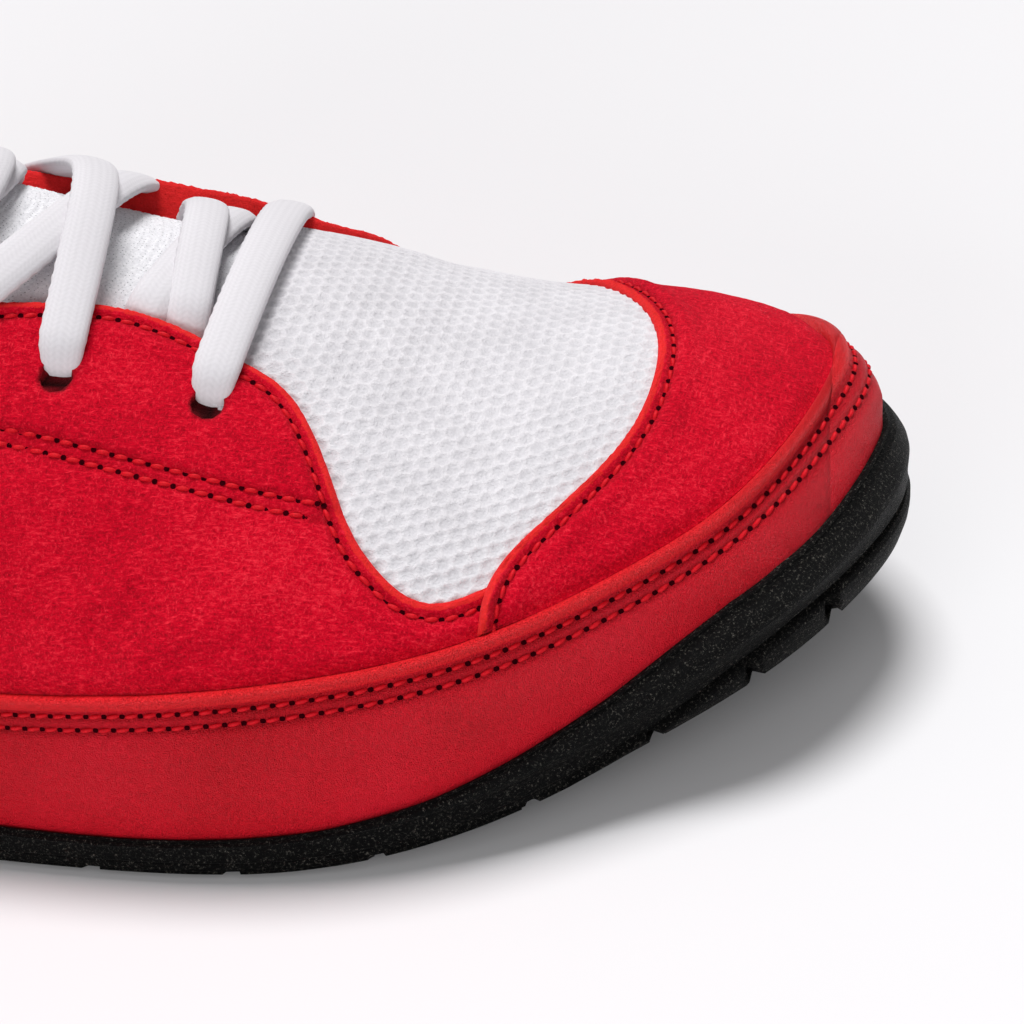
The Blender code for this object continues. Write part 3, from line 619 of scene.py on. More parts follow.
def joined(parts):
    points, faces, start = [], [], 0
    for some_points, some_faces in parts:
        points.append(some_points)
        faces.append(some_faces + start)
        start += len(some_points)
    return np.concatenate(points), np.concatenate(faces)


def discs(places, normals, radius, lift, sides=8):
    """Small round patches on a surface."""
    aside = unit(np.cross(normals, (0.3, 0.2, 0.93)))
    other = np.cross(normals, aside)
    angle = 2 * math.pi * np.arange(sides) / sides
    ring = aside[:, None] * np.cos(angle)[None, :, None] + other[:, None] * np.sin(angle)[None, :, None]
    points = places[:, None] + ring * radius + normals[:, None] * lift
    quads = np.array([(0, 1, 2, 3), (0, 3, 4, 7), (4, 5, 6, 7)])
    faces = (quads[None] + (np.arange(len(places)) * sides)[:, None, None]).reshape(-1, 4)
    return points.reshape(-1, 3), faces


# Shapes of the panels

HEEL_CORNER = float(
    crossing(np.array([0.30]), np.array([HEEL_TURN]), lambda t: above_rand(t, np.full(t.shape, -1.0)))[0]
)
MESH_HEIGHT = 0.72 * MM
MESH_LOW = 0.48 * MM
MESH_PITCH = 2.25 * MM
PIT_WALL = (0.30, 0.45)
EDGE_BAND = 6.0 * MM
EYESTAY_GAPE = 2.2 * MM
VAMP_THROAT = 0.737
THROAT_END = 0.765
TOE_ROWS = (0.985, 0.994, 1.0)
THROAT_WALL = 1.0 * MM
EDGE_STEP = 0.3 * MM

# Soft troughs (negative) and ridges of the worn panels, each from one place to another.
Fold = namedtuple("Fold", "along across to_along to_across width depth")
PAIRED_FOLDS = [
    Fold(0.735, 0.62, 0.775, 0.43, 3.2 * MM, -0.55 * MM),
    Fold(0.700, 0.66, 0.735, 0.47, 4.0 * MM, -0.50 * MM),
    Fold(0.620, 0.65, 0.655, 0.42, 5.0 * MM, -0.60 * MM),
    Fold(0.440, 0.60, 0.520, 0.30, 8.0 * MM, -1.25 * MM),
    Fold(0.400, 0.66, 0.470, 0.34, 7.0 * MM, 1.10 * MM),
    Fold(0.360, 0.70, 0.410, 0.36, 7.0 * MM, -1.20 * MM),
    Fold(0.200, 0.85, 0.240, 0.40, 9.0 * MM, -0.80 * MM),
    Fold(0.110, 0.80, 0.130, 0.42, 9.0 * MM, -0.50 * MM),
]
QUARTER_FOLDS = [
    Fold(0.750, -0.66, 0.800, -0.50, 2.6 * MM, 0.40 * MM),
    Fold(0.660, -0.64, 0.690, -0.45, 4.0 * MM, 0.45 * MM),
    *PAIRED_FOLDS,
    *[f._replace(across=-f.across, to_across=-f.to_across) for f in PAIRED_FOLDS],
]
VAMP_FOLDS = [
    Fold(0.815, -0.34, 0.835, 0.05, 3.5 * MM, -0.30 * MM),
    Fold(0.800, -0.18, 0.822, 0.30, 3.5 * MM, -0.35 * MM),
]


def folded(points, folds):
    """Height added by the folds at points of the last."""
    total = np.zeros(points.shape[:-1])
    for fold in folds:
        across = np.linspace(fold.across, fold.to_across, 9)
        line = last_point(np.linspace(fold.along, fold.to_along, 9), across)
        nearest = np.full(points.shape[:-1], 1.0)
        for place in line:
            nearest = np.minimum(nearest, ((points - place) ** 2).sum(-1))
        total += fold.depth * np.exp(-nearest / fold.width**2)
    return total


def eyelet_places(side):
    """Places along the loft of a row of eyelets, evenly spaced up the throat's edge."""
    places = np.linspace(EYELET_FIRST, 0, 400)
    length = even(last_point(places, side * (1 - EYELET_UP)))
    return np.interp(np.arange(EYELET_PAIRS) * EYELET_SPACING, length, places)


def punched(points, outward, height, side):
    """Opens round holes at the eyelets: moves a grid's points aside, and down inside each hole. Its mask
    marks each hole's wall for painted shade.
    """
    mask = np.zeros(height.shape)
    reach, wall = 5.2 * MM, 1.1 * MM
    for place in eyelet_places(side):
        centre = last_point(place, side * (1 - EYELET_UP))
        aside = points - centre
        away = np.linalg.norm(aside, axis=-1)
        near = away < reach
        share = between(away, wall, reach)
        wanted = np.where(away < wall, EYELET_RADIUS, EYELET_RADIUS + share * (reach - EYELET_RADIUS))
        moved = centre + aside * (wanted / np.maximum(away, 1e-7))[..., None]
        points = np.where(near[..., None], moved, points)
        sunk = 0.12 * MM + (height - 0.12 * MM) * between(away, 0, wall) ** 3
        pressed = -0.35 * MM * soft_dip(wanted - EYELET_RADIUS, 1.0 * MM)
        height = np.where(near, np.where(away < wall, sunk, height + pressed), height)
        mask = np.maximum(mask, np.clip(1.25 - away / (wall + 0.25 * MM), 0, 1))
    return points, height, mask


def quarter_lanes(side):
    """A grid of places on a quarter: across its edge at even steps, along it from collar to cap."""
    along = steps([(0.0, 0.0045), (0.56, 0.0017), (0.885, 1)])
    low = np.where(along < HEEL_CORNER, 0, rand_up(along, side))
    high = quarter_edge(along, side)
    shares = np.linspace(0, 1, 160)
    ups = low[:, None] + (high - low)[:, None] * shares[::-1]
    section = last_point(along[:, None], side * (1 - ups))
    length = lengths(section, 1)
    whole = length[:, -1]
    fine = np.arange(0, EDGE_BAND, EDGE_STEP * COARSE)
    rest = np.linspace(0, 1, int(88 / COARSE))[1:]
    band = np.minimum(EDGE_BAND, whole * 0.35)
    beyond = band[:, None] + rest * (whole - band)[:, None]
    wanted = np.concatenate([fine / EDGE_BAND * band[:, None], beyond], 1)
    lanes = np.array([np.interp(w, l, u) for w, l, u in zip(wanted, length, ups)])
    ahead = last_point(along[:, None], side * (1 - lanes))
    gap = cap_seam_x(ahead[..., 1]) + 1.0 * MM - ahead[..., 0]
    start = 0.78
    grid_along, grid_up = np.empty(lanes.shape), np.empty(lanes.shape)
    for k in range(lanes.shape[1]):
        last = np.argmax(gap[:, k] < 0)
        last = last if last else len(along) - 1
        behind, before = gap[last - 1, k], gap[last, k]
        share = np.clip(behind / max(behind - before, 1e-9), 0, 1)
        end = along[last - 1] + (along[last] - along[last - 1]) * share
        drawn_in = start + (along - start) * (end - start) / (along[-1] - start)
        grid_along[:, k] = np.where(along > start, drawn_in, along)
        grid_up[:, k] = np.interp(grid_along[:, k], along, lanes[:, k])
    return grid_along, grid_up


def over_rand(points):
    """Distance of a panel's points from the rand's top line."""
    return np.maximum(distance(points, points[..., 2] - rand_top(points[..., 0])), 0)


def suede_height(edge):
    """Height of a suede panel from the distance to its cut edge, with the stitched groove along it."""
    height = PANEL_LOW + (SUEDE_HEIGHT - PANEL_LOW) * round_edge(edge, EDGE_ROUND)
    height -= EDGE_GROOVE_DEPTH * soft_dip(edge - EDGE_STITCH, GROOVE_WIDTH)
    return height + EDGE_SWELL * soft_dip(edge - EDGE_STITCH * 2.0, 1.2 * MM)


def rough_cut(points, edge):
    """Height of the torn nap along a cut edge."""
    frayed = ripple(points, 0.9 * MM, 41) + 0.6 * ripple(points, 0.45 * MM, 42)
    return 0.13 * MM * frayed * soft_dip(edge - 0.3 * MM, 0.9 * MM)


THREADS, HOLES = [], []


def sew(points, outward, values, wanted, offset=0.0):
    """Sews a row of stitches on a surface, along the line where its values reach one value."""
    line, normal = line_at(points, outward, values, wanted)
    made = stitch_line(line, normal, offset) if len(line) else None
    if made:
        THREADS.append(made[0])
        HOLES.append(made[1])


def quarter(side, material):
    name = "lateral" if side == LATERAL else "medial"
    along, up = quarter_lanes(side)
    across = side * (1 - up)
    points, outward = last_frame(along, across)
    edge = np.maximum(distance(points, quarter_edge(along, side) - up), 0)
    stay = distance(points, line_value(*STAY_SEAM, along) - up)
    in_stay = between(along, STAY_FRONT, STAY_FRONT - 0.01)
    front = np.maximum(cap_seam_x(points[..., 1]) - points[..., 0], 0) + 1.0 * MM
    height = suede_height(edge) + rough_cut(points, edge)
    stay_rows = in_stay * sum(soft_dip(stay - row, GROOVE_WIDTH) for row in STAY_STITCHES)
    height -= GROOVE_DEPTH * stay_rows
    height += STAY_RISE * in_stay * between(stay, 0.3 * MM, -1.2 * MM)
    height -= 0.3 * MM * soft_dip(front - 1.0 * MM, 1.2 * MM)
    if side == MEDIAL:
        lifted = np.exp(-(((along - 0.69) / 0.06) ** 4)) * np.exp(-((edge / (8 * MM)) ** 2))
        height += EYESTAY_GAPE * lifted
    height += folded(points, QUARTER_FOLDS)
    height += 0.10 * MM * ripple(points, 9 * MM, 4) + 0.035 * MM * ripple(points, 2.6 * MM, 5)
    collar = distance(points, along)
    seam_back = np.where(along < HEEL_CORNER, lengths(points[:, ::-1], 1)[:, ::-1], 1.0)
    other_rows = soft_dip(collar - COLLAR_STITCH, GROOVE_WIDTH)
    other_rows += soft_dip(seam_back - BACK_STITCH, GROOVE_WIDTH)
    height = np.maximum(height - GROOVE_DEPTH * other_rows, 0.3 * MM)
    height -= (SUEDE_HEIGHT + 0.2 * MM) * (1 - round_edge(collar, COLLAR_ROUND))
    height -= RAND_DIP * np.where(along > HEEL_CORNER, soft_dip(over_rand(points), 1.3 * MM), 0)
    height -= BACK_SEAM_DEPTH * soft_dip(seam_back, 0.9 * MM)
    base, sewn = points, points + outward * height[..., None]
    points, height, mask = punched(points, outward, height, side)
    top = points + outward * height[..., None]
    foot = np.full(height.shape, SKIRT_FOOT)
    foot[:, 0] -= THROAT_WALL * between(along[:, 0], 0.745, 0.725)
    low = points + outward * np.minimum(height, foot)[..., None]
    made = sheet_mesh(f"quarter_suede_{name}", top, low, coordinates(base), flip=side == LATERAL)
    # The seam and hole masks give painted shade in the suede material: darker along the stitched grooves
    # and near-black inside the eyelet holes.
    seam = soft_dip(edge - EDGE_STITCH, GROOVE_WIDTH) + stay_rows + other_rows
    tag_panel(made, edge=np.minimum(edge, front + 1 * MM) * 1000, hole=mask, seam=seam)
    finish(made, material, "suede", f"quarter_{name}")
    sew(*[np.swapaxes(grid, 0, 1)[COLLAR_FIRST:] for grid in (sewn, outward, collar)], COLLAR_STITCH)
    back = (along[:, 0] > 0.025) & (along[:, 0] < HEEL_CORNER - 0.01)
    sew(sewn[back, ::-1], outward[back, ::-1], seam_back[back, ::-1], BACK_STITCH)
    keep = along[:, 0] > 0.012
    sew(sewn[keep], outward[keep], edge[keep], EDGE_STITCH)
    keep &= along[:, 0] < 0.80
    for k, row in enumerate(STAY_STITCHES):
        sew(sewn[keep], outward[keep], stay[keep], row, k * STITCH_PITCH / 2)
    return made


def toe_cap(material):
    sides = np.array([LATERAL, MEDIAL])
    ends = crossing(0.2 * sides, 0.95 * sides, lambda across: above_rand(cap_seam_along(across), across))
    across = np.linspace(*ends, int(230 / COARSE))
    first, last = cap_seam_along(across), cap_front_along(across)
    share = steps([(0, 0.0048), (0.12, 0.0074), (1, 1)])
    along = first + (last - first) * share[:, None]
    across = np.broadcast_to(across, along.shape)
    points, outward = last_frame(along, across)
    edge = np.maximum(distance(points, points[..., 0] - cap_seam_x(points[..., 1])), 0)
    height = suede_height(edge) + rough_cut(points, edge) + 0.25 * MM * soft_dip(edge - 4.2 * MM, 1.6 * MM)
    overlap = between(np.abs(across), 0.50, 0.55)
    height += overlap * CAP_OVERLAP * soft_dip(edge - 0.6 * MM, 1.5 * MM) * round_edge(edge, EDGE_ROUND)
    height -= RAND_DIP * soft_dip(over_rand(points), 1.5 * MM)
    height += 0.12 * MM * ripple(points, 11 * MM, 8) + 0.035 * MM * ripple(points, 2.8 * MM, 9)
    top = points + outward * height[..., None]
    base = points + outward * np.minimum(height, SKIRT_FOOT)[..., None]
    made = sheet_mesh("toe_cap_suede", top, base, coordinates(points))
    # The seam mask gives painted shade in the suede material: darker along the stitched groove.
    seam = soft_dip(edge - EDGE_STITCH, GROOVE_WIDTH)
    tag_panel(made, edge=edge * 1000, hole=np.zeros(height.shape), seam=seam)
    finish(made, material, "suede", "toe_cap")
    sew(*[np.swapaxes(grid, 0, 1) for grid in (top, outward, edge)], EDGE_STITCH)
    return made


def loop_stations(scale):
    return steps([(HEEL_TURN, 0.0042 * scale), (0.60, 0.0021 * scale), (0.96, 0.0013 * scale), (1.0, 1)])


def rand_line():
    """The rand's top line, from the heel along the lateral side, over the toe and back."""
    along = np.linspace(HEEL_CORNER, 0.90, 260)
    lateral, medial = rand_up(along, LATERAL) - 1, 1 - rand_up(along, MEDIAL)
    over = np.linspace(lateral[-1], medial[-1], 242)[1:-1]
    places = np.concatenate([along, cap_front_along(over), along[::-1]])
    return last_point(places, np.concatenate([lateral, over, medial[::-1]]))


def rand(material):
    stations = steps([(HEEL_TURN, 0.0042), (0.60, 0.0021), (0.93, 0.0005), (0.96, 0.0013), (1.0, 1)])
    heel_end = 0.62
    tops = HEEL_CORNER + (heel_end - HEEL_CORNER) * (stations - HEEL_TURN) / (heel_end - HEEL_TURN)
    tops = np.where(stations >= heel_end, stations, tops)
    share = steps([(0, 0.028), (0.70, 0.30 / 33), (1, 1)])
    sides = []
    for side in (LATERAL, MEDIAL):
        high = rand_up(tops, side)
        along = stations[:, None] + (tops - stations)[:, None] * share
        up = high[:, None] * share
        up[0] = 0
        points, outward = last_frame(along, side * (1 - up))
        sides.append((points, outward))
    points = np.concatenate([sides[0][0], sides[1][0][-2::-1]])
    outward = np.concatenate([sides[0][1], sides[1][1][-2::-1]])
    outward[0] = outward[-1] = unit(outward[0] * (1, 0, 1))
    below = away_from(points, rand_line())
    height = np.full(below.shape, LEATHER_HEIGHT)
    sewn = sum(soft_dip(below - row, GROOVE_WIDTH) for row in RAND_STITCHES)
    height -= RAND_GROOVE_DEPTH * sewn
    to_middle = PIPING_WIDTH / 2 - np.abs(below - PIPING_WIDTH / 2)
    height += (PIPING_HEIGHT - LEATHER_HEIGHT) * round_edge(to_middle, PIPING_WIDTH / 2)
    height -= (LEATHER_HEIGHT - 0.5 * MM) * (1 - round_edge(below, 0.5 * MM))
    place = coordinates(points)
    wander = 2.2 * ripple(points, 14 * MM, 21) + 1.2 * ripple(points, 5 * MM, 25)
    wrinkle = np.sin(place[..., 0] / (1.15 * MM) + wander)
    fade = between(below, 5.5 * MM, 8.5 * MM)
    height += fade * (0.02 * MM * wrinkle + 0.05 * MM * ripple(points, 4.5 * MM, 22))
    height -= 0.35 * MM * between(below, 10 * MM, 19 * MM)
    top = points + outward * height[..., None]
    base = points + outward * np.minimum(height, -0.2 * MM)[..., None]
    made = sheet_mesh("rand_leather", top, base, place, flip=True)
    # The seam mask gives painted shade in the leather material: darker along the stitched grooves.
    tag_panel(made, edge=below * 1000, seam=sewn)
    finish(made, material, "leather", "rand")
    for k, row in enumerate(RAND_STITCHES):
        sew(top[:, ::-1], outward[:, ::-1], below[:, ::-1], row, k * STITCH_PITCH / 2)
    return made


def solid_sheet(name, points, outward, keep, thickness, uv, kept=False):
    """A closed sheet: a grid of outer points, an inner layer behind it, and walls along open edges."""
    rows, columns = points.shape[:2]
    quads = grid_quads(rows, columns)
    quads = quads[keep[:-1, :-1].reshape(-1)]
    flat = points.reshape(-1, 3)
    inner = flat - outward.reshape(-1, 3) * thickness
    count = len(flat)
    sides = np.concatenate([quads[:, [0, 1]], quads[:, [1, 2]], quads[:, [2, 3]], quads[:, [3, 0]]])
    present = {(int(a), int(b)) for a, b in sides}
    open_sides = np.array([(a, b) for a, b in present if (b, a) not in present])
    start, end = open_sides.T
    walls = np.stack([end, start, start + count, end + count], -1)
    faces = np.concatenate([quads, quads[:, ::-1] + count, walls])
    places = np.concatenate([flat, inner])
    used, faces = np.unique(faces, return_inverse=True)
    faces = faces.reshape(-1, 4)
    both = np.concatenate([uv.reshape(-1, 2), uv.reshape(-1, 2)])
    made = mesh_object(name, places[used], faces, both[used])
    return (made, used) if kept else made


def upper(material):
    """The inner bootie: lining inside, and outside it the base that the panels are sewn to."""
    step = 0.005 * COARSE
    along = np.concatenate([np.arange(0, THROAT_END, step), np.arange(THROAT_END, 0.99, step), TOE_ROWS])
    along = np.unique(np.clip(along, 0, 1))
    edge = throat_edge(along)
    side = np.linspace(0, 1, 34)
    middle = np.linspace(-1, 1, 13)[1:-1]
    across = np.concatenate([
        -1 + (1 - edge)[:, None] * side,
        edge[:, None] * middle,
        edge[:, None] + (1 - edge)[:, None] * side,
    ], 1)
    points, outward = last_frame(along[:, None], across)
    column = np.arange(across.shape[1])
    in_throat = (column >= 33) & (column < 33 + 12)
    keep = ~((along[:, None] < THROAT_END) & in_throat[None, :])
    outer = points - outward * 0.05 * MM
    made = solid_sheet("inner_boot", outer, outward, keep, WALL, coordinates(points))
    return finish(made, material, "mesh", "upper")


def dimples(place, pitch):
    """Depth share of round dimples on a close-packed pattern, 1 at the middle of each."""
    row = place[..., 0] / (pitch * math.sqrt(3) / 2)
    best = np.full(row.shape, 9.0)
    for shift in (-1, 0, 1):
        line = np.round(row) + shift
        start = np.mod(line, 2) * 0.5
        column = np.round(place[..., 1] / pitch - start) + start
        away = np.hypot(place[..., 0] - line * pitch * math.sqrt(3) / 2, place[..., 1] - column * pitch)
        best = np.minimum(best, away / pitch)
    return best


def vamp(material):
    along = np.arange(0.64, 0.935, 0.0012 * COARSE)
    across = np.linspace(-0.66, 0.66, int(391 / COARSE))
    along, across = np.meshgrid(along, across, indexing="ij")
    points, outward = last_frame(along, across)
    place = coordinates(points)
    away = dimples(place, MESH_PITCH)
    wall = smooth(between(away, *PIT_WALL))
    height = MESH_LOW + (MESH_HEIGHT - MESH_LOW) * wall + folded(points, VAMP_FOLDS)
    top = points + outward * height[..., None]
    edge = throat_edge(along, VAMP_THROAT_EDGE)
    covered = np.where(across < 0, quarter_edge(along, LATERAL), quarter_edge(along, MEDIAL))
    shown = 1 - np.abs(across) > np.where(along < 0.862, covered, 0) - 0.08
    clear = points[..., 2] > rand_top(points[..., 0]) + 2.5 * MM
    keep = shown & clear & ~((along < VAMP_THROAT + 0.12 * across**2) & (np.abs(across) < edge - 0.01))
    made, used = solid_sheet("mesh_vamp", top, outward, keep, 0.35 * MM, place, kept=True)
    # The pit mask gives painted shade in the mesh material: greyer inside the dimples.
    tag(made, "pit", np.tile(1 - wall.ravel(), 2)[used])
    return finish(made, material, "mesh")


def tongue(material):
    along = steps([(TONGUE_TOP, 0.0022), (0.45, 0.0014), (0.805, 1)])
    edge = throat_edge(along) + 0.10
    share = np.linspace(-1, 1, 41)
    fallen = between(along, TONGUE_TOP + TONGUE_CORNER, TONGUE_TOP)
    across = (edge * (1 - 0.45 * (1 - np.sqrt(1 - fallen**2))))[:, None] * share
    points, outward = last_frame(along[:, None], across)
    inside = between(along, THROAT_END, EYELET_FIRST)[:, None]
    crown = np.sqrt(np.clip(1 - (np.abs(across) / (edge[:, None] - 0.105)) ** 4, 0, 1))
    place = coordinates(points)
    rib = np.cos(2 * math.pi * (place[..., 0] + 0.6 * MM * ripple(points, 25 * MM, 31)) / (1.25 * MM))
    outside = TONGUE_CROWN * inside * crown - WALL - TONGUE_CLEARANCE
    height = outside + (0.10 * MM * rib + 0.12 * MM * ripple(points, 12 * MM, 33)) * inside
    rim = np.minimum(lengths(points, 0), 4 * MM) / (4 * MM)
    roll = TONGUE_THICKNESS / 2 * (1 - round_edge(rim, 1))
    outer = points + outward * (height - roll)[..., None]
    thick = (height - roll) - (outside - TONGUE_THICKNESS + roll)
    whole = np.ones(height.shape, bool)
    made = solid_sheet("tongue_mesh", outer, outward * thick[..., None], whole, 1.0, place)
    return finish(made, material, "mesh", "tongue")


# Lace

OVER_HEIGHT = SUEDE_HEIGHT + LACE_THICKNESS / 2 + 0.05 * MM
UNDER_HEIGHT = TONGUE_CROWN - WALL + LACE_THICKNESS / 2 + 0.25 * MM
HIDDEN_HEIGHT = -WALL - 1.35 * MM


def strand(side, start, end, over, hump):
    """One stretch of lace from an eyelet of one side to an eyelet of the other, its ends in the holes."""
    edge = 1 - EYELET_UP
    share = np.linspace(0, 1, 61)
    across = side * (edge - 0.010) * (1 - 2 * share)
    swell = hump * np.cos(math.pi * (share - 0.5)) ** 6
    if over:
        along = start + (end - start) * share
        rest = np.full(share.shape, OVER_HEIGHT)
        near = np.minimum(share, 1 - share)
        height = -2.2 * MM + (rest + 2.2 * MM) * round_edge(near, 0.085)
    else:
        pull = 0.22
        along = start + (end - start) * (pull + (1 - 2 * pull) * share)
        near = between(np.abs(across), edge, 0.12)
        blend = smooth(between(near, 0.45, 0.95))
        height = HIDDEN_HEIGHT + (UNDER_HEIGHT - HIDDEN_HEIGHT) * blend
    base, outward = last_frame(along, across)
    points = base + outward * (height + swell)[:, None]
    aside = unit(np.cross(outward, np.gradient(base, axis=0)))
    length = even(points)
    wanted = np.linspace(0, length[-1], int(length[-1] / (0.5 * MM * COARSE)) + 1)
    path = along_line(wanted, length, points)
    for _ in range(4):
        path[1:-1] = path[:-2] * 0.25 + path[1:-1] * 0.5 + path[2:] * 0.25
    aside = unit(along_line(wanted, length, aside))
    ahead = unit(np.gradient(path, axis=0))
    aside = unit(aside - ahead * (aside * ahead).sum(-1, keepdims=True))
    raised = np.cross(ahead, aside)
    end_share = between(np.minimum(wanted, wanted[-1] - wanted), 0, 7 * MM)
    pinch = 0.74 + 0.26 * end_share if over else np.full(wanted.shape, 0.96)
    return path, aside, raised, wanted, pinch


def lace_tube(path, aside, raised, wanted, pinch, start):
    sides = int(30 / COARSE)
    angle = 2 * math.pi * np.arange(sides) / sides
    flat = np.sign(np.cos(angle)) * np.abs(np.cos(angle)) ** 0.85
    round_ = np.sign(np.sin(angle)) * np.abs(np.sin(angle)) ** 0.80
    half_width = LACE_WIDTH / 2 * pinch[:, None]
    half_thick = LACE_THICKNESS / 2 * (1 + 0.25 * (1 - pinch[:, None]))
    knot = 0.5 + 0.5 * np.cos(2 * math.pi * (start + wanted) / (2.0 * MM))
    rib = np.exp(-(((angle + math.pi) % (2 * math.pi) - math.pi) / 0.34) ** 2)
    weave = np.cos(2 * math.pi * (start + wanted)[:, None] / (1.7 * MM) + 2.5 * np.abs(flat))
    swell = 1 + 0.006 * weave
    corded = between(pinch[:, None], 0.85, 0.95)
    wide = half_width * flat * swell + corded * rib * (0.10 * MM + 0.14 * MM * knot[:, None])
    thick = half_thick * round_ * swell * (1 - 0.12 * np.exp(-((flat - 0.78) / 0.09) ** 2))
    points = path[:, None] + aside[:, None] * wide[..., None] + raised[:, None] * thick[..., None]
    along, around = np.broadcast_arrays((start + wanted)[:, None], angle * LACE_WIDTH / 3)
    uv = np.stack([along, around], -1)
    return points.reshape(-1, 3), ring_quads(len(path), sides)[:, ::-1], uv.reshape(-1, 2)


def lace(material):
    lateral, medial = eyelet_places(LATERAL), eyelet_places(MEDIAL)
    strands = [strand(LATERAL, lateral[0], medial[0], True, 0)]
    for i in range(EYELET_PAIRS - 1):
        over = i % 2 == 1
        lift = 0.95 * LACE_THICKNESS
        strands.append(strand(LATERAL, lateral[i], medial[i + 1], over, lift))
        strands.append(strand(MEDIAL, medial[i], lateral[i + 1], over, 0))
    points, faces, uvs, count, run = [], [], [], 0, 0.0
    for each in strands:
        some, quads, uv = lace_tube(*each, run)
        points.append(some)
        faces.append(quads + count)
        uvs.append(uv)
        count += len(some)
        run += each[3][-1]
    made = mesh_object("lace_tubular", np.concatenate(points), np.concatenate(faces), np.concatenate(uvs))
    names = ["lace_bar", *[f"lace_crossing_{k}" for k in range(1, EYELET_PAIRS)]]
    return finish(made, material, "lace", *names)


# Sole


def sole_bottom(x):
    place = lengthwise_share(x)
    forward = np.clip((place - 0.70) / 0.32, 0, None)
    arch = between(np.abs(place - 0.42), 0.16, 0)
    return TOE_SPRING * forward**1.9 + ARCH_HEIGHT * smooth(arch)


def wrap_share(x):
    return np.interp(lengthwise_share(x), *TOE_WRAP)


def plan_normals(loop):
    ahead = np.roll(loop, -1, axis=0) - np.roll(loop, 1, axis=0)
    return unit(np.stack([ahead[:, 1], -ahead[:, 0], np.zeros(len(loop))], -1))


def sole_loop(stations, rise, out):
    """A closed loop round the foot at a rise above the feather edge and an offset out from the last."""
    rise, out = np.broadcast_to(rise, stations.shape), np.broadcast_to(out, stations.shape)
    sides, leans = [], []
    line = last_point(np.linspace(HEEL_TURN, 0.3, 60), -1.0)
    for side in (LATERAL, MEDIAL):
        foot = last_point(stations, side)
        ups = np.linspace(0, 0.92, 120)
        heights = last_point(stations[:, None], side * (1 - ups)[None, :])[..., 2] - foot[:, 2:]
        up = np.array([np.interp(climb, row, ups) for climb, row in zip(rise, heights)])
        point, outward = last_frame(stations, side * (1 - up))
        height = foot[0, 2] + rise[0]
        point[0] = [np.interp(height, line[:, 2], line[:, 0]), 0, height]
        level = np.linalg.norm(outward[:, :2], axis=1)
        leans.append(np.where(rise > 0, np.clip(level, 0.6, 1), 1))
        sides.append(point)
    loop = np.concatenate([sides[0], sides[1][-2:0:-1]])
    offset = np.concatenate([out / leans[0], (out / leans[1])[-2:0:-1]])
    return loop + plan_normals(loop) * offset[:, None]


def at_height(loop, height):
    placed = loop.copy()
    placed[:, 2] = height
    return placed


def tread_gap(points, width):
    """1 in the gaps between lugs and 0 on them."""
    place = points[..., 0] - 0.06 * BALL_WIDTH * (0.5 - points[..., 1] / (1.6 * BALL_WIDTH))
    gap = np.zeros(place.shape)
    for share in TREAD_GROOVES:
        away = np.abs(place - lengthwise(share))
        gap = np.maximum(gap, between(away, width / 2 + 0.25 * MM, width / 2 - 0.25 * MM))
    return gap


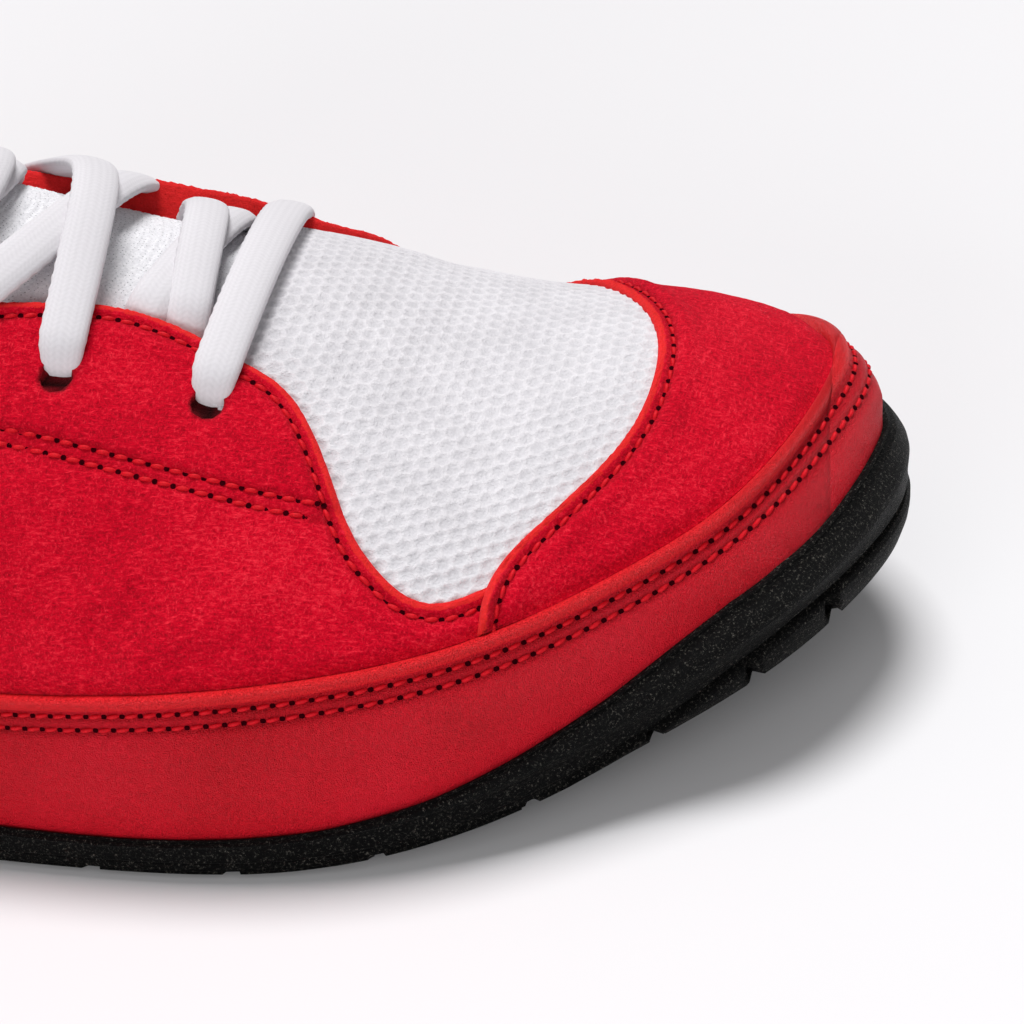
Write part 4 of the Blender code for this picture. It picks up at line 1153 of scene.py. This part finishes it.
def outsole(material):
    stations = loop_stations(0.8)
    edge_x = last_point(stations, -1.0)[:, 0]
    share = wrap_share(edge_x)
    lip = SOLE_LIP_HEIGHT + TOE_WRAP_HEIGHT * share
    inside = 1.25 * MM
    cad_inside = 3 * GAP + CAD_OVERLAY
    side = SOLE_EDGE + (cad_inside + TOE_WRAP_THICKNESS - SOLE_EDGE) * np.clip(2 * share, 0, 1)
    flash = inside + 0.7 * MM + 0.35 * MM * np.clip(3 * share, 0, 1)

    def ring(rise, out):
        return sole_loop(stations, rise, out)

    loop = ring(0, 0)
    feather = loop[:, 2]
    lean = SOLE_UNDERCUT / 4
    outer = ring(0, side - lean)
    low = sole_bottom(outer[:, 0])
    places, rises, depths = SIDE_GROOVE
    place = lengthwise_share(loop[:, 0])
    depth = np.interp(place[: len(stations)], places, depths)
    groove = low + np.interp(place, places, rises)
    top_of_groove = groove + SIDE_GROOVE_HEIGHT / 2
    climb = np.clip(top_of_groove + 0.5 * MM - feather, 0, None)[: len(stations)]
    climb = np.minimum(climb, 0.6 * lip)
    shoulder = at_height(outer, ring(climb, side - lean)[:, 2])
    top_of_groove = np.minimum(top_of_groove, shoulder[:, 2] - 0.3 * MM)
    groove = top_of_groove - SIDE_GROOVE_HEIGHT / 2
    rings = [at_height(ring(0, -FLAT_INSET), feather - GAP)]
    rings.append(at_height(ring(0, inside), feather - GAP))
    for k in (0.25, 0.5, 0.75, 0.95):
        rings.append(ring(lip * k, inside))
    rings.append(ring(lip + 0.15 * MM, inside + 0.15 * MM))
    rings.append(ring(lip + 0.22 * MM, flash - 0.25 * MM))
    rings.append(ring(lip + 0.05 * MM, flash))
    rings.append(ring(lip - 0.35 * MM * np.clip(3 * share, 0.2, 1), flash - 0.12 * MM))
    for k in np.linspace(0.9, 0.0, 9)[:-1]:
        bulge = min(1, ((1 - k) / 0.5)) ** 0.7
        out = flash + (side - flash) * bulge - lean * max(0, 1 - k / 0.5) ** 2
        band = ring(climb + (lip - climb) * k, out)
        band[:, :2] += (outer - band)[:, :2] * (1 - k) ** 3
        rings.append(band)
    for k in (0.15, 0.6, 0.92):
        rings.append(at_height(shoulder, shoulder[:, 2] + (top_of_groove - shoulder[:, 2]) * k))
    for inset, place in ((0.15 * MM, 0.5), (depth * 0.8, 0.34), (depth, 0.0), (depth * 0.8, -0.34)):
        rings.append(at_height(ring(0, side - lean - inset), groove + SIDE_GROOVE_HEIGHT * place))
    lug_top = groove - SIDE_GROOVE_HEIGHT / 2
    first_lug = len(rings)
    rings.append(at_height(ring(0, side - 1.6 * lean), lug_top))
    for k in (0.15, 0.4, 0.65, 0.85):
        lug = ring(0, side - 0.4 * lean - (SOLE_UNDERCUT - 0.4 * lean) * k**2.6)
        rings.append(at_height(lug, lug_top + (low + 0.4 * MM - lug_top) * k))
    for out, up in ((0.1, 0.30), (0.35, 0.12), (0.8, 0.03)):
        rounded = ring(0, side - SOLE_UNDERCUT - out * MM)
        rings.append(at_height(rounded, sole_bottom(rounded[:, 0]) + up * MM))
    for k in (0.25, 0.5, 0.75, 1.0):
        inner = ring(0, (side - SOLE_UNDERCUT - 1.0 * MM) * (1 - k) - FLAT_INSET * k)
        rings.append(at_height(inner, sole_bottom(inner[:, 0])))
    points = np.array(rings)
    gap = tread_gap(points, SIDE_SLIT)
    gap[:first_lug] = 0
    inward = -plan_normals(outer)
    side_rows = slice(first_lug, first_lug + 7)
    points[side_rows] += inward * (SIDE_SLIT_DEPTH * gap[side_rows])[..., None]
    groove_depth = TREAD_DEPTH - 0.5 * MM
    cut = np.zeros(gap.shape)
    cut[first_lug + 4 :] = groove_depth
    points[..., 2] += gap * np.minimum(cut, np.maximum(lug_top - points[..., 2] - 0.15 * MM, 0))
    count = points.shape[1]
    half = count // 2
    faces = [ring_quads(len(rings), count)]
    flat = [points.reshape(-1, 3)]
    start = points.shape[0] * count
    cells = int(26 / COARSE)
    for row, flip in ((0, True), (len(rings) - 1, False)):
        left = points[row, : half + 1]
        right = points[row, (count - np.arange(half + 1)) % count]
        blend = np.linspace(0, 1, cells)[None, :, None]
        filled = left[:, None] * (1 - blend) + right[:, None] * blend
        if not flip:
            filled[..., 2] = sole_bottom(filled[..., 0]) + tread_gap(filled, TREAD_GROOVE) * groove_depth
        flat.append(filled.reshape(-1, 3))
        faces.append(grid_quads(half + 1, cells, start, flip))
        start += filled.shape[0] * cells
    everything = np.concatenate(flat)
    made = mesh_object("sole_rubber", everything, np.concatenate(faces)[:, ::-1], everything[:, :2])
    weld(made, 1e-6)
    return finish(made, material, "rubber", "outsole")


def weld(piece, reach):
    mesh = bmesh.new()
    mesh.from_mesh(piece.data)
    bmesh.ops.remove_doubles(mesh, verts=mesh.verts, dist=reach)
    bmesh.ops.recalc_face_normals(mesh, faces=mesh.faces)
    mesh.to_mesh(piece.data)
    mesh.free()
    piece.data.shade_smooth()


def insole(material):
    stations = loop_stations(2.5)
    inset = -(WALL + 0.9 * MM)
    edge = sole_loop(stations, 0, inset)
    rings = []
    rounded = (inset - 0.8 * MM, 3.4 * MM)
    for out, up in ((-FLAT_INSET, 0.0), (inset, 0.0), (inset, 2.1 * MM), rounded):
        rings.append(at_height(sole_loop(stations, up, out), edge[:, 2] + 0.2 * MM + up))
    rings.append(at_height(sole_loop(stations, 0, -FLAT_INSET), edge[:, 2] + 3.5 * MM))
    points = np.array(rings)
    count = points.shape[1]
    half = count // 2
    faces = [ring_quads(len(rings), count)]
    k = np.arange(1, half)
    quads = np.stack([k, k + 1, (count - k - 1) % count, (count - k) % count], -1)
    faces += [quads, quads[:, ::-1] + (len(rings) - 1) * count]
    flat = points.reshape(-1, 3)
    made = mesh_object("footbed", flat, np.concatenate(faces), flat[:, :2])
    weld(made, 1e-6)
    return finish(made, material, "foam", "insole")


# Materials

DOT_PITCH = 3.0 * MM


class Nodes:
    """A material's node tree, with short calls for the nodes it is made of."""

    def __init__(self, name):
        self.material = bpy.data.materials.new(name)
        self.material.use_nodes = True
        self.tree = self.material.node_tree
        self.tree.nodes.clear()
        self.shader = self.tree.nodes.new("ShaderNodeBsdfPrincipled")
        output = self.tree.nodes.new("ShaderNodeOutputMaterial")
        self.tree.links.new(self.shader.outputs["BSDF"], output.inputs["Surface"])

    def node(self, kind, **settings):
        made = self.tree.nodes.new(kind)
        for key, value in settings.items():
            setattr(made, key, value)
        return made

    def join(self, source, target):
        self.tree.links.new(source, target)

    def value(self, socket, value):
        if isinstance(value, (int, float, tuple, list)):
            socket.default_value = value
        else:
            self.join(value, socket)

    def math(self, kind, a, b=0.0, c=0.0):
        node = self.node("ShaderNodeMath", operation=kind)
        for socket, value in zip(node.inputs, (a, b, c)):
            self.value(socket, value)
        return node.outputs[0]

    def noise(self, scale, detail=3.0, roughness=0.6, where=None):
        node = self.node("ShaderNodeTexNoise")
        self.join(where or self.place(), node.inputs["Vector"])
        node.inputs["Scale"].default_value = scale
        node.inputs["Detail"].default_value = detail
        node.inputs["Roughness"].default_value = roughness
        return node.outputs["Fac"]

    def place(self, scale=(1, 1, 1), source="Object"):
        coordinates_node = self.node("ShaderNodeTexCoord")
        mapping = self.node("ShaderNodeMapping")
        mapping.inputs["Scale"].default_value = scale
        self.join(coordinates_node.outputs[source], mapping.inputs["Vector"])
        return mapping.outputs["Vector"]

    def ramp(self, value, stops):
        """Colours between stops, each a place and a display colour from 0 to 255."""
        node = self.node("ShaderNodeValToRGB")
        elements = node.color_ramp.elements
        while len(elements) < len(stops):
            elements.new(0.5)
        for element, (place, colour) in zip(elements, stops):
            element.position = place
            element.color = (*linear(*colour), 1)
        self.value(node.inputs["Fac"], value)
        return node.outputs["Color"]

    def tint(self, colour, mask, strength, wanted):
        """A colour drawn towards a display colour, by the mask times a strength."""
        node = self.node("ShaderNodeMix", data_type="RGBA")
        self.join(self.math("MULTIPLY", mask, strength), node.inputs["Factor"])
        self.join(colour, node.inputs["A"])
        node.inputs["B"].default_value = (*linear(*wanted), 1)
        return node.outputs["Result"]

    def blend(self, a, a_share, b, b_share):
        return self.math("MULTIPLY_ADD", a, a_share, self.math("MULTIPLY", b, b_share))

    def tagged(self, name):
        return self.node("ShaderNodeAttribute", attribute_name=name).outputs["Fac"]

    def bump(self, height, strength, length, before=None):
        node = self.node("ShaderNodeBump")
        node.inputs["Strength"].default_value = strength
        node.inputs["Distance"].default_value = length
        self.join(height, node.inputs["Height"])
        if before is not None:
            self.join(before, node.inputs["Normal"])
        return node.outputs["Normal"]

    def shade(self, colour, roughness, normal=None, **settings):
        self.value(self.shader.inputs["Base Color"], (*colour, 1) if isinstance(colour, tuple) else colour)
        self.value(self.shader.inputs["Roughness"], roughness)
        if normal is not None:
            self.join(normal, self.shader.inputs["Normal"])
        for key, value in settings.items():
            self.shader.inputs[key.replace("_", " ")].default_value = value
        return self.material


def linear(red, green, blue):
    """A display colour from 0 to 255 as linear shares."""
    shares = np.array([red, green, blue]) / 255
    bright = ((shares + 0.055) / 1.055) ** 2.4
    return tuple(float(v) for v in np.where(shares <= 0.04045, shares / 12.92, bright))


def suede_material():
    m = Nodes("red_suede")
    patch = m.noise(70, 2, 0.5)
    brushed = m.noise(1.0, 3, 0.75, m.place((700, 2600, 1900)))
    crossed = m.noise(1.0, 3, 0.75, m.place((2500, 800, 2300)))
    nap = m.math("MAXIMUM", brushed, crossed)
    fibre = m.noise(4800, 3, 0.8)
    tone = m.blend(nap, 0.90, patch, 0.20)
    colour = m.ramp(tone, [(0.44, (154, 0, 22)), (0.60, (202, 2, 34)), (0.76, (238, 44, 62))])
    cut = m.math("LESS_THAN", m.math("MULTIPLY_ADD", nap, 1.7, m.tagged("edge")), 1.9)
    colour = m.tint(colour, cut, 0.6, (240, 52, 44))
    # Painted shade: the suede is darkened along the stitched grooves, where shade falls.
    colour = m.tint(colour, m.tagged("seam"), 0.45, (140, 0, 14))
    # Painted shade: the walls of the eyelet holes are painted near-black for the shade inside them.
    colour = m.tint(colour, m.tagged("hole"), 1.0, (30, 8, 8))
    first = m.bump(nap, 0.9, 0.0005)
    normal = m.bump(fibre, 0.6, 0.0002, first)
    sheen = {"Sheen_Weight": 0.16, "Sheen_Roughness": 0.5, "Sheen_Tint": (1.0, 0.2, 0.25, 1)}
    return m.shade(colour, 0.95, normal, Specular_IOR_Level=0.05, **sheen)


def leather_material():
    m = Nodes("red_leather")
    place = m.place((1500, 900, 1), "UV")
    wrinkle = m.noise(1.0, 3, 0.65, place)
    patch = m.noise(45, 2, 0.5)
    cells = m.node("ShaderNodeTexVoronoi", feature="SMOOTH_F1")
    m.join(m.place((1750, 1250, 1), "UV"), cells.inputs["Vector"])
    cells.inputs["Smoothness"].default_value = 0.6
    tone = m.blend(wrinkle, 0.35, patch, 0.65)
    colour = m.ramp(tone, [(0.35, (210, 4, 28)), (0.55, (230, 10, 38)), (0.75, (242, 22, 50))])
    colour = m.tint(colour, cells.outputs["Distance"], 0.30, (160, 0, 16))
    # Painted highlight: the rolled piping along the rand's top edge is painted brighter, as light falls on
    # it.
    top = m.math("LESS_THAN", m.tagged("edge"), 1.9)
    colour = m.tint(colour, top, 0.7, (240, 34, 40))
    # Painted shade: the leather is darkened along the stitched grooves, where shade falls.
    colour = m.tint(colour, m.tagged("seam"), 0.5, (120, 0, 10))
    first = m.bump(cells.outputs["Distance"], 0.9, 0.0005)
    normal = m.bump(wrinkle, 0.45, 0.0003, first)
    return m.shade(colour, 0.50, normal, Specular_IOR_Level=0.24)


def mesh_material():
    m = Nodes("spacer_mesh")
    yarn = m.noise(2600, 3, 0.6)
    patch = m.noise(120, 2, 0.5)
    tone = m.blend(yarn, 0.6, patch, 0.4)
    colour = m.ramp(tone, [(0.3, (202, 199, 203)), (0.6, (219, 216, 220)), (0.8, (228, 226, 230))])
    # Painted shade: the mesh is greyed in its pits, where shade falls.
    colour = m.tint(colour, m.tagged("pit"), 0.22, (150, 150, 156))
    return m.shade(colour, 0.9, m.bump(yarn, 0.8, 0.0003), Sheen_Weight=0.1, Specular_IOR_Level=0.1)


def lining_material():
    m = Nodes("grey_lining")
    weave = m.noise(2200, 3, 0.6)
    colour = m.ramp(weave, [(0.3, (176, 176, 180)), (0.7, (222, 222, 225))])
    return m.shade(colour, 0.9, m.bump(weave, 0.5, 0.0002), Specular_IOR_Level=0.2)


def tongue_material():
    m = Nodes("ribbed_mesh")
    yarn = m.noise(2400, 3, 0.6)
    dots = m.node("ShaderNodeTexVoronoi")
    m.join(m.place((1 / DOT_PITCH, 1 / DOT_PITCH, 1), "UV"), dots.inputs["Vector"])
    dots.inputs["Randomness"].default_value = 0.25
    dark = m.math("LESS_THAN", dots.outputs["Distance"], 0.16)
    colour = m.ramp(yarn, [(0.3, (204, 203, 207)), (0.65, (230, 229, 232))])
    colour = m.tint(colour, dark, 0.55, (60, 60, 66))
    return m.shade(colour, 0.85, m.bump(yarn, 0.4, 0.0002), Specular_IOR_Level=0.2)


def lace_material():
    m = Nodes("white_lace")
    split = m.node("ShaderNodeSeparateXYZ")
    m.join(m.place((1, 1, 1), "UV"), split.inputs[0])
    along, around = split.outputs[0], split.outputs[1]
    slope = m.math("PINGPONG", around, 0.0008)
    rows = m.math("SINE", m.math("MULTIPLY", m.math("ADD", slope, along), 2 * math.pi / 0.0007))
    plait = m.math("SINE", m.math("MULTIPLY", around, 2 * math.pi / 0.0006))
    height = m.blend(rows, 0.5, plait, 0.5)
    yarn = m.noise(3500, 3, 0.6)
    both = m.math("MULTIPLY_ADD", yarn, 0.8, height)
    tone = m.math("MULTIPLY_ADD", height, 0.10, m.math("MULTIPLY_ADD", yarn, 0.3, 0.35))
    colour = m.ramp(tone, [(0.25, (196, 193, 197)), (0.7, (212, 209, 213))])
    return m.shade(colour, 0.8, m.bump(both, 0.12, 0.00008), Sheen_Weight=0.1, Specular_IOR_Level=0.15)


def rubber_material():
    m = Nodes("black_rubber")
    speckle_and_glint = m.noise(2600, 4, 0.9)
    patch = m.noise(140, 3, 0.6)
    # Partly painted highlight: the palest stops paint small glints as pale specks in the rubber's colour.
    # The darker mottling is the rubber's own speckle.
    stops = [(0.44, (2, 2, 3)), (0.54, (9, 9, 10)), (0.585, (44, 43, 40)), (0.66, (130, 126, 118))]
    rough = m.math("MULTIPLY_ADD", patch, 0.25, 0.42)
    return m.shade(m.ramp(speckle_and_glint, stops), rough, m.bump(speckle_and_glint, 1.0, 0.0009), Specular_IOR_Level=0.10)


def thread_material():
    m = Nodes("red_thread")
    ply = m.noise(5000, 2, 0.6)
    colour = m.ramp(ply, [(0.3, (176, 0, 18)), (0.7, (214, 14, 32))])
    return m.shade(colour, 0.6, m.bump(ply, 0.4, 0.0001), Specular_IOR_Level=0.15)


# Painted shade: near-black colour for the shade inside the needle holes between stitches.
def hole_shade_material():
    m = Nodes("needle_hole_shade")
    colour = m.ramp(m.noise(3000, 2, 0.5), [(0.3, (30, 0, 4)), (0.7, (52, 0, 8))])
    return m.shade(colour, 0.95, Specular_IOR_Level=0.02)


def floor_material():
    m = Nodes("pale_floor")
    return m.shade(linear(216, 215, 217), 0.9, Specular_IOR_Level=0.05)


# Camera, floor and light


def camera():
    a, e, r = CAMERA_AZIMUTH, CAMERA_HEIGHT, CAMERA_ROLL
    back = Vector((math.sin(a) * math.cos(e), -math.cos(a) * math.cos(e), math.sin(e)))
    right = Vector((math.cos(a), math.sin(a), 0))
    above = back.cross(right)
    rolled_right = right * math.cos(r) + above * math.sin(r)
    rolled_above = above * math.cos(r) - right * math.sin(r)
    target = Vector(CAMERA_TARGET) + Vector((lengthwise(0), 0, 0))
    matrix = Matrix((rolled_right, rolled_above, back)).transposed().to_4x4()
    matrix.translation = target + back * CAMERA_DISTANCE
    data = bpy.data.cameras.new("camera")
    data.lens = data.sensor_width * CAMERA_DISTANCE / FRAME_WIDTH
    made = link(bpy.data.objects.new("camera", data))
    made.matrix_world = matrix
    bpy.context.scene.camera = made


def surroundings():
    bpy.context.scene.view_settings.view_transform = "Standard"
    corners = [(-3, -3, 0), (3, -3, 0), (3, 3, 0), (-3, 3, 0)]
    floor = mesh_object("floor", corners, [(0, 1, 2, 3)], smooth=False)
    floor.data.materials.append(floor_material())
    world = bpy.data.worlds.new("studio")
    bpy.context.scene.world = world
    world.use_nodes = True
    background = world.node_tree.nodes["Background"]
    background.inputs["Color"].default_value = (1, 1, 1, 1)
    background.inputs["Strength"].default_value = WORLD_STRENGTH
    key = bpy.data.lights.new("key", "SUN")
    key.energy = KEY_STRENGTH
    key.angle = KEY_SPREAD
    made = link(bpy.data.objects.new("key", key))
    made.rotation_euler = Vector(KEY_FROM).to_track_quat("Z", "Y").to_euler()
    for name, place, size, power in SOFTBOXES:
        data = bpy.data.lights.new(name, "AREA")
        data.shape = "RECTANGLE"
        data.size, data.size_y = size
        data.energy = power
        made = link(bpy.data.objects.new(name, data))
        made.location = place
        made.rotation_euler = (Vector(place) - Vector(LIT_MIDDLE)).to_track_quat("Z", "Y").to_euler()


def stitches():
    points, faces = joined(THREADS)
    thread = mesh_object("stitching", points, faces)
    finish(thread, thread_material(), "suede")
    # Dark discs over the needle holes: painted shade.
    spots = [discs(places, normals, HOLE_RADIUS, 0.08 * MM) for places, normals in HOLES]
    points, faces = joined(spots)
    hole = mesh_object("needle_holes", points, faces, smooth=False)
    finish(hole, hole_shade_material(), "suede")


def main():
    suede = suede_material()
    upper(lining_material())
    vamp(mesh_material())
    quarter(LATERAL, suede)
    quarter(MEDIAL, suede)
    toe_cap(suede)
    rand(leather_material())
    tongue(tongue_material())
    lace(lace_material())
    outsole(rubber_material())
    insole(lining_material())
    stitches()
    camera()
    surroundings()


main()
